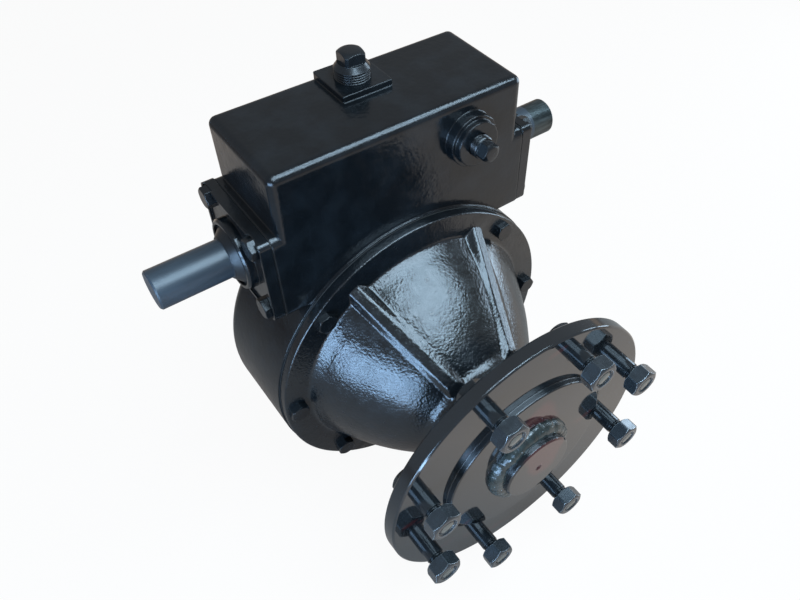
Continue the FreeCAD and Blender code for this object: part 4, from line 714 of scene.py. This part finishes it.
class GEARBOX_OT_cover(bpy.types.Operator):
    """Cast the ribbed bell that carries the output shaft"""

    bl_idname = "gearbox.cover"
    bl_label = "Output cover"
    bl_options = {"REGISTER", "UNDO"}

    nose_edge = 2.5 * MM
    front_edge = 1.2 * MM
    back_edge = 0.8 * MM
    spigot_out = 4.5 * MM
    spigot_in = 6.5 * MM
    spigot_length = 3.5 * MM
    bearing_end = 66 * MM
    bearing_front = 39 * MM
    seal_back = 35 * MM
    shelf = 5.5 * MM
    crown_wall = 1.3
    skin_depth = 3.0 * MM
    rib_rise = 4.0 * MM
    rib_set = 2.0 * MM
    nose_fade = 8.0 * MM
    flange_fade = (10.0 * MM, 1.0 * MM)
    waves_per_metre = 55
    ripples_per_metre = 140
    ripple_share = 0.5
    crown_steps = 34
    bend_steps = 8
    fine_zone = math.radians(12.0)
    fine_step = math.radians(0.45)
    wide_step = math.radians(2.2)

    def foot_fillet(self, s):
        """Corners of the hollow where the cone runs into the flange."""
        return [(s.cone_end_r + 0.6 * MM, s.cone_end_y + 1.2 * MM),
                (s.cone_end_r + 1.6 * MM, s.cone_end_y + 3.0 * MM),
                (s.foot_r - 1.5 * MM, s.flange_front - 3.4 * MM),
                (s.foot_r - 0.6 * MM, s.flange_front - 1.4 * MM),
                (s.foot_r + 1.0 * MM, s.flange_front - 0.2 * MM),
                (s.foot_r + 2.6 * MM, s.flange_front)]

    def outline(self, s):
        """The bell's section as (radius, y) corners, outside first."""
        tip = (s.cone_tip_r, s.cone_tip_y)
        end = (s.cone_end_r, s.cone_end_y)
        mid_y = s.cone_tip_y + s.crown_at * (s.cone_end_y - s.cone_tip_y)
        mid_r = s.cone_tip_r + s.crown_at * (s.cone_end_r - s.cone_tip_r) + s.crown
        crown = arc_through(tip, (mid_r, mid_y), end, self.crown_steps)
        slope = (crown[0][0] - tip[0]) / (crown[0][1] - tip[1])
        bend = (s.nose_r, s.cone_tip_y - (s.cone_tip_r - s.nose_r) / slope)
        corners = [(s.seal_r, s.nose_y), (s.nose_r, s.nose_y), bend, tip]
        nose = rounded(corners, [0.0, self.nose_edge, s.neck, 0.0], self.bend_steps)
        fillet = self.foot_fillet(s)
        ring = [fillet[-1], (s.flange_r, s.flange_front), (s.flange_r, s.flange_back),
                (s.foot_r + self.spigot_out, s.flange_back)]
        rim = rounded(ring, [0.0, self.front_edge, self.back_edge, 0.0])
        spigot = s.flange_back + self.spigot_length
        inside = [(s.foot_r + self.spigot_out, spigot), (s.foot_r - self.spigot_in, spigot),
                  (s.cone_end_r - s.wall, s.cone_end_y), (mid_r - s.wall * self.crown_wall, mid_y),
                  (s.cup_r + self.shelf, self.bearing_end), (s.cup_r, self.bearing_end),
                  (s.cup_r, self.bearing_front), (s.web_r, self.bearing_front),
                  (s.web_r, self.seal_back), (s.seal_r, self.seal_back)]
        return nose + crown + fillet[:-1] + rim + inside

    def ribs(self, s):
        """The ribs' angles, in the order in which the bell is spun."""
        return [s.rib_angle, math.pi - s.rib_angle, math.pi + s.rib_angle, 2 * math.pi - s.rib_angle]

    def raise_ribs(self, bm, s):
        """Pushes the cone outwards where a rib runs, and draws the flange's ledge along."""
        half = s.rib_width / 2
        start = s.rib_tip_y - self.rib_rise
        for vert in bm.verts:
            radius = math.hypot(vert.co.x, vert.co.z)
            y = vert.co.y
            if y > s.flange_front + TOUCH / 10 or y < start or radius < s.nose_r - TOUCH:
                continue
            if y < s.flange_front - TOUCH and radius < self.skin(s, y) - self.skin_depth:
                continue
            turned = math.atan2(vert.co.z, vert.co.x)
            lift = 0.0
            for rib in self.ribs(s):
                off = (turned - rib + math.pi) % (2 * math.pi) - math.pi
                aside = abs(math.sin(off)) * radius if abs(off) < math.pi / 2 else 1.0
                lift = max(lift, 1.0 - smoothstep(half - s.rib_blend / 2, half + s.rib_blend / 2, aside))
            lift *= smoothstep(start, s.rib_tip_y + self.rib_set, y)
            if lift <= 0:
                continue
            if y >= s.flange_front - TOUCH:
                reach = max(0.0, s.rib_foot_r - s.foot_r) * lift
                left = max(0.0, (s.flange_r - radius) / (s.flange_r - s.foot_r))
                wanted = radius + reach * left
            else:
                along = (y - s.rib_tip_y) / (s.flange_front - s.rib_tip_y)
                ridge = s.rib_tip_r + along * (s.rib_foot_r - s.rib_tip_r)
                wanted = radius + max(0.0, ridge - radius) * lift
            vert.co.x *= wanted / radius
            vert.co.z *= wanted / radius

    def unsettle(self, bm, s):
        """Lets the cast skin of nose, cone and ribs wander a little."""
        last, first = [s.flange_front - gap for gap in self.flange_fade]
        for vert in bm.verts:
            radius = math.hypot(vert.co.x, vert.co.z)
            fade = smoothstep(s.nose_y, s.nose_y + self.nose_fade, vert.co.y)
            fade *= 1.0 - smoothstep(last, first, vert.co.y)
            if fade > 0 and radius > self.skin(s, vert.co.y) - self.skin_depth:
                drift = noise.noise(vert.co * self.waves_per_metre)
                drift += self.ripple_share * noise.noise(vert.co * self.ripples_per_metre)
                out = Vector((vert.co.x, 0.0, vert.co.z)) / radius
                vert.co += out * s.uneven * fade * (drift - 1.0)

    def skin(self, s, y):
        """A radius just under the bell's outside at a place along the shaft."""
        if y < s.nose_end:
            return s.nose_r
        along = (y - s.nose_end) / (s.cone_end_y - s.nose_end)
        return s.nose_r + min(1.0, along) * (s.cone_end_r - s.nose_r)

    def execute(self, context):
        s = context.scene.gearbox_cover
        bm = bmesh.new()
        geom = drawn(bm, self.outline(s), -TO_WHEEL)
        turns = []
        for rib in self.ribs(s):
            turns += [(rib - self.fine_zone, self.wide_step), (rib + self.fine_zone, self.fine_step)]
        turns.append((2 * math.pi, self.wide_step))
        at = 0.0
        for turned, step in turns:
            sweep = turned - at
            steps = math.ceil(sweep / step)
            made = bmesh.ops.spin(bm, geom=geom, cent=(0, 0, 0), axis=TO_WHEEL, dvec=(0, 0, 0),
                                  angle=sweep, steps=steps, use_merge=False, use_normal_flip=False,
                                  use_duplicate=False)
            geom = made["geom_last"]
            at = turned
        bmesh.ops.remove_doubles(bm, verts=bm.verts, dist=MERGE)
        self.raise_ribs(bm, s)
        self.unsettle(bm, s)
        finish = enamel("cover_enamel", 1.4 * MM, 0.21 * MM, rough=0.14, wave=0.30 * MM, edge=1.0 * MM,
                        ior=1.60)
        finish_piece("bell_casting", bm, finish, "housing", ("output_cover",),
                     sharp=math.radians(50))
        return {"FINISHED"}


class GEARBOX_OT_wheel_plate(bpy.types.Operator):
    """Finish the wheel plate and the output shaft's end"""

    bl_idname = "gearbox.wheel_plate"
    bl_label = "Wheel plate"
    bl_options = {"REGISTER", "UNDO"}

    def execute(self, context):
        dress(gloss_plate("plate_gloss"), "wheel_plate", "output_shaft")
        return {"FINISHED"}


def turned_bar(sides, flats, corner_r, height, drop, steps, both=False, bore=0.0, sink=0.0):
    """A polygon bar along +Z with a turned end, bored and countersunk, or solid where bore is 0.

    Its corners are cut at corner_r. At a radius the end falls by drop. With both, so does the other.
    """
    side = 2 * math.pi / sides
    inner_share = 0.7

    def edge_r(turned):
        return min(flats / 2 / math.cos(turned % side - side / 2), corner_r)

    def end_ring(share, top):
        def ring(turned):
            radius = flats / 2 * (1 - share) * inner_share + edge_r(turned) * share
            fall = drop(radius) if top or both else 0.0
            return radius, height - fall if top else fall
        return ring

    shares = [k / steps for k in range(steps + 1)]
    rings = [end_ring(share, False) for share in (shares if both else [1.0])]
    rings += [end_ring(share, True) for share in reversed(shares)]
    if bore > 0:
        rings = [lambda t: (bore, sink), lambda t: (bore + sink, 0.0)] + rings
        rings += [lambda t: (bore + sink, height), lambda t: (bore, height - sink)]
    bm = bmesh.new()
    ring = bmesh.ops.create_circle(bm, cap_ends=False, radius=1.0, segments=RING_STEPS)["verts"]
    first = list({e for v in ring for e in v.link_edges})
    edges = first
    for index, shape in enumerate(rings):
        if index:
            made = bmesh.ops.extrude_edge_only(bm, edges=edges)["geom"]
            ring = [g for g in made if isinstance(g, bmesh.types.BMVert)]
            lines = [g for g in made if isinstance(g, bmesh.types.BMEdge)]
            edges = [e for e in lines if all(v in ring for v in e.verts)]
        for vert in ring:
            turned = math.atan2(vert.co.y, vert.co.x)
            radius, z = shape(turned)
            vert.co = Vector((radius * math.cos(turned), radius * math.sin(turned), z))
    if bore > 0:
        bmesh.ops.bridge_loops(bm, edges=first + edges)
    else:
        bmesh.ops.contextual_create(bm, geom=first)
        bmesh.ops.contextual_create(bm, geom=edges)
    bmesh.ops.recalc_face_normals(bm, faces=bm.faces)
    return bm


def hexagon(flats, height, both=False, bore=0.0, sink=0.0):
    """A hexagon bar with its corners chamfered by turning, on the far end or on both."""
    face_r = flats / 2 * 0.93
    slope = math.tan(math.radians(35.0))
    corner_angle = math.radians(40.0)
    corner_edge = 0.35 * MM

    def drop(radius):
        return max(0.0, radius - face_r) * slope

    bm = turned_bar(6, flats, flats, height, drop, 6, both, bore, sink)
    sharp = [e for e in bm.edges if len(e.link_faces) == 2 and e.calc_face_angle(0.0) > corner_angle]
    corners = [e for e in sharp if abs(e.verts[0].co.z - e.verts[1].co.z) > height / 2]
    bmesh.ops.bevel(bm, geom=corners, offset=corner_edge, offset_type="OFFSET", affect="EDGES",
                    segments=2, profile=0.5, material=-1, clamp_overlap=True)
    return bm


def domed_square(flats, height):
    """A plug's square head with turned corners and a domed end."""
    corner_r = flats / math.sqrt(2) * 0.9
    flat_r = flats * 0.30
    dome = flats * 0.15

    def drop(radius):
        share = max(0.0, radius - flat_r) / (corner_r - flat_r)
        return dome * share * share

    return turned_bar(4, flats, corner_r, height, drop, 6)


def thread_teeth(outer_r, depth, pitch, start, end):
    """(radius, z) corners of a row of thread crests from start to end."""
    rise = 0.40
    fall = 0.60
    teeth = max(1, int((end - start) / pitch))
    step = (end - start) / teeth
    points = []
    for k in range(teeth):
        z = start + k * step
        points += [(outer_r - depth, z), (outer_r, z + step * rise), (outer_r, z + step * fall)]
    return points


class GEARBOX_OT_wheel_fixings(bpy.types.Operator):
    """Turn the wheel studs and screw on their nuts"""

    bl_idname = "gearbox.wheel_fixings"
    bl_label = "Wheel studs and nuts"
    bl_options = {"REGISTER", "UNDO"}

    turns = (22, 50, 5, 25, 27, 40, 12, 33)
    steps = 40
    into_head = 0.5 * MM
    thread_depth = 0.7 * MM
    relief = 0.6 * MM
    end_edge = 0.8 * MM
    end_face = 2.0 * MM

    def stud(self, s):
        """One stud along +Z with the plate's front face at z = 0."""
        thread_from = s.grip - s.runout
        end = s.grip + s.nut_height - s.end_inset
        back = -s.plate - self.into_head
        outline = [(0.0, back), (s.seat_r, back), (s.seat_r, 0.0), (s.stud_r, 0.0),
                   (s.stud_r, thread_from - self.relief)]
        outline += thread_teeth(s.thread_r, self.thread_depth, s.pitch, thread_from,
                                end - self.end_edge)
        outline += [(s.thread_r - self.relief, end - self.end_edge),
                    (s.thread_r - self.end_face, end), (0.0, end)]
        bm = spun(outline, self.steps)
        place_copies(bm, hexagon(s.head_flats, s.head_height), [stood(UP * -s.plate, -UP)])
        return bm

    def execute(self, context):
        s = context.scene.gearbox_fixings
        look = context.scene.gearbox_colours
        studs = bmesh.new()
        nuts = bmesh.new()
        stud_places = []
        nut_places = []
        for k in range(s.studs):
            turned = s.first + 2 * math.pi * k / s.studs
            nut_turn = math.radians(self.turns[k % len(self.turns)])
            base = Vector((s.circle_r * math.cos(turned), 0.0, s.circle_r * math.sin(turned)))
            stud_places.append(stood(base, TO_WHEEL, turned))
            nut_places.append(stood(base + TO_WHEEL * s.grip, TO_WHEEL, nut_turn))
        nut = hexagon(s.nut_flats, s.nut_height, True, s.thread_r - TOUCH, s.countersink)
        place_copies(studs, self.stud(s), stud_places)
        place_copies(nuts, nut, nut_places)
        end_y = -(s.grip + s.nut_height - s.end_inset)
        shank = dark_steel("stud_steel", shade(look.steel, 0.5), 0.14, bare_below=end_y + 0.15 * MM)
        nut_finish = dark_steel("nut_steel", look.steel, 0.20, edge_wear=0.8)
        finish_piece("wheel_stud_set", studs, shank, "output_line", ("wheel_studs",))
        finish_piece("wheel_nut_set", nuts, nut_finish, "output_line", ("wheel_nuts",))
        return {"FINISHED"}


class GEARBOX_OT_weld(bpy.types.Operator):
    """Lay the weld bead round the output shaft"""

    bl_idname = "gearbox.weld"
    bl_label = "Shaft weld"
    bl_options = {"REGISTER", "UNDO"}

    steps = 200
    arc = 9
    outset = 0.15
    root = -2.0 * MM
    sway = 1.5
    sways = 3
    lumps_round = 1.6
    lumps_per_metre = 90
    fine = 3.1
    fine_share = 0.35
    ripple_share = 0.20
    sunk = 0.12

    def execute(self, context):
        s = context.scene.gearbox_weld
        middle_r = s.ring_r + s.bead_r * self.outset
        turns = [math.pi * k / self.arc for k in range(self.arc + 1)]
        outline = [(middle_r + s.bead_r * math.cos(t), s.bead_r * math.sin(t)) for t in turns]
        outline += [(s.ring_r - s.bead_r * 0.7, self.root), (s.ring_r + s.bead_r, self.root)]
        bm = spun(outline, self.steps)
        for vert in bm.verts:
            turned = math.atan2(vert.co.y, vert.co.x)
            radial = Vector((vert.co.x, vert.co.y, 0.0)).normalized()
            out = vert.co - radial * middle_r
            if vert.co.z < 0:
                continue
            sway = self.sway * math.sin(turned * self.sways)
            ripple = abs(math.sin(turned * s.ripples / 2 + sway))
            spot = Vector((math.cos(turned) * self.lumps_round, math.sin(turned) * self.lumps_round,
                           vert.co.z * self.lumps_per_metre))
            lump = noise.noise(spot) + self.fine_share * noise.noise(spot * self.fine)
            lift = lump + self.ripple_share * ripple - self.sunk
            vert.co += out.normalized() * s.lump_r * lift
        bmesh.ops.transform(bm, matrix=stood(TO_WHEEL * s.seat_y, TO_WHEEL), verts=bm.verts)
        finish_piece("weld_bead", bm, weld_metal("weld_metal"), "output_line",
                     ("shaft_weld",), sharp=math.radians(70))
        return {"FINISHED"}


class GEARBOX_OT_plugs(bpy.types.Operator):
    """Screw in the fill, level and drain plugs"""

    bl_idname = "gearbox.plugs"
    bl_label = "Pipe plugs"
    bl_options = {"REGISTER", "UNDO"}

    steps = 56
    reach_in = 10.0 * MM

    def plug(self, s, radius, proud, cone, shoulder_r, head, flats):
        """One plug along +Z with its seat at z = 0, and how far it stands out."""
        outline = [(0.0, -self.reach_in), (radius - s.depth, -self.reach_in)]
        outline += thread_teeth(radius, s.depth, s.pitch, -self.reach_in + s.pitch, proud)
        outline += [(radius - s.depth * 0.6, proud)]
        if cone > 0:
            outline += [(shoulder_r, proud + cone)]
        outline += [(0.0, proud + cone)]
        bm = spun(outline, self.steps)
        place_copies(bm, domed_square(flats, head), [Matrix.Translation(UP * (proud + cone))])
        return bm, proud + cone + head

    def screw_in(self, name, node, plug, direction, turn, finish):
        """Stands a plug so that it ends where its node ends."""
        bm, reach = plug
        lowest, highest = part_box(node)
        half = abs((highest - lowest).dot(direction)) / 2
        seat = (lowest + highest) / 2 + direction * (half - reach)
        bmesh.ops.transform(bm, matrix=stood(seat, direction, turn), verts=bm.verts)
        finish_piece(name, bm, finish, "housing", (node,))

    def execute(self, context):
        s = context.scene.gearbox_plugs
        finish = enamel("plug_enamel", 1.5 * MM, 0.03 * MM, rough=0.18, wave=0.05 * MM, edge=0.5 * MM)
        fill = (s.fill_r, s.fill_proud, s.fill_cone, s.fill_shoulder_r, s.fill_head, s.fill_flats)
        small = (s.small_r, s.small_proud, 0.0, s.small_r, s.small_head, s.small_flats)
        plugs = (("fill_pipe_plug", "fill_plug", fill, UP, s.fill_turn),
                 ("level_pipe_plug", "level_plug", small, TO_WHEEL, s.small_turn),
                 ("drain_pipe_plug", "drain_plug", small, -UP, 0.0))
        for name, node, sizes, direction, turn in plugs:
            self.screw_in(name, node, self.plug(s, *sizes), direction, turn, finish)
        return {"FINISHED"}


class GEARBOX_OT_small_bolts(bpy.types.Operator):
    """Paint the bolts of the covers and caps"""

    bl_idname = "gearbox.small_bolts"
    bl_label = "Small bolts"
    bl_options = {"REGISTER", "UNDO"}

    def execute(self, context):
        finish = enamel("bolt_enamel", 1.4 * MM, 0.03 * MM, rough=0.16, wave=0.05 * MM, edge=0.7 * MM)
        dress(finish, "cover_bolts", "left_cap_bolts", "right_cap_bolts", "rear_cover_bolts")
        return {"FINISHED"}


class GEARBOX_OT_input_shaft(bpy.types.Operator):
    """Finish the input shaft and its dust excluders"""

    bl_idname = "gearbox.input_shaft"
    bl_label = "Input shaft"
    bl_options = {"REGISTER", "UNDO"}

    bare_end = 21 * MM

    def execute(self, context):
        right_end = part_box("worm_shaft")[1].x
        dress(shaft_steel("shaft_steel", right_end - self.bare_end), "worm_shaft")
        cone = enamel("excluder_enamel", 2.0 * MM, 0.02 * MM, rough=0.30, wave=0.05 * MM, edge=0.6 * MM)
        dress(cone, "left_dust_excluder", "right_dust_excluder")
        return {"FINISHED"}


class GEARBOX_OT_inner_parts(bpy.types.Operator):
    """Finish the gear, the bearings, the seals and the shims"""

    bl_idname = "gearbox.inner_parts"
    bl_label = "Inner parts"
    bl_options = {"REGISTER", "UNDO"}

    def execute(self, context):
        look = context.scene.gearbox_colours
        dress(turned_steel("gear_iron", look.gear, 0.34), "bull_gear")
        dress(turned_steel("inner_steel", look.inner, 0.32), "gear_key", "front_spacer", "lock_washer",
              "lock_nut")
        races = [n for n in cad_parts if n.endswith(("_cup", "_cone", "_rollers", "_cage"))]
        dress(turned_steel("bearing_steel", look.bearing, 0.18, 0.5 * MM), *races)
        dress(rubber("seal_rubber"), "left_input_seal", "right_input_seal", "output_seal")
        dress(gasket_sheet("gasket_sheet"), "cover_gasket", "left_cap_shims", "right_cap_shims",
              "rear_cover_shims")
        return {"FINISHED"}


class GEARBOX_PT_panel(bpy.types.Panel):
    """The gearbox's operators and sizes"""

    bl_label = "Gearbox"
    bl_idname = "GEARBOX_PT_panel"
    bl_space_type = "VIEW_3D"
    bl_region_type = "UI"
    bl_category = "Gearbox"

    def draw(self, context):
        layout = self.layout
        for operator in OPERATORS:
            layout.operator(operator.bl_idname)
        for name, sizes in SIZES.items():
            box = layout.box()
            box.label(text=sizes.bl_rna.name)
            for key in sizes.__annotations__:
                box.prop(getattr(context.scene, name), key)


SIZES = {
    "gearbox_cover": CoverSizes,
    "gearbox_fixings": FixingSizes,
    "gearbox_weld": WeldSizes,
    "gearbox_plugs": PlugSizes,
    "gearbox_colours": Colours,
    "gearbox_stage": StageSizes,
}
OPERATORS = (
    GEARBOX_OT_stage,
    GEARBOX_OT_castings,
    GEARBOX_OT_cover,
    GEARBOX_OT_wheel_plate,
    GEARBOX_OT_wheel_fixings,
    GEARBOX_OT_weld,
    GEARBOX_OT_plugs,
    GEARBOX_OT_small_bolts,
    GEARBOX_OT_input_shaft,
    GEARBOX_OT_inner_parts,
)
CLASSES = (*SIZES.values(), *OPERATORS, GEARBOX_PT_panel)


def register():
    """Adds the classes and the sizes to Blender."""
    for made in CLASSES:
        bpy.utils.register_class(made)
    for name, sizes in SIZES.items():
        setattr(bpy.types.Scene, name, PointerProperty(type=sizes))


def unregister():
    """Takes them out again."""
    for name in SIZES:
        delattr(bpy.types.Scene, name)
    for made in reversed(CLASSES):
        bpy.utils.unregister_class(made)


def main():
    """Makes the whole scene."""
    register()
    bpy.ops.gearbox.stage()
    bpy.ops.gearbox.castings()
    bpy.ops.gearbox.cover()
    bpy.ops.gearbox.wheel_plate()
    bpy.ops.gearbox.wheel_fixings()
    bpy.ops.gearbox.weld()
    bpy.ops.gearbox.plugs()
    bpy.ops.gearbox.small_bolts()
    bpy.ops.gearbox.input_shaft()
    bpy.ops.gearbox.inner_parts()


if __name__ == "__main__":
    main()
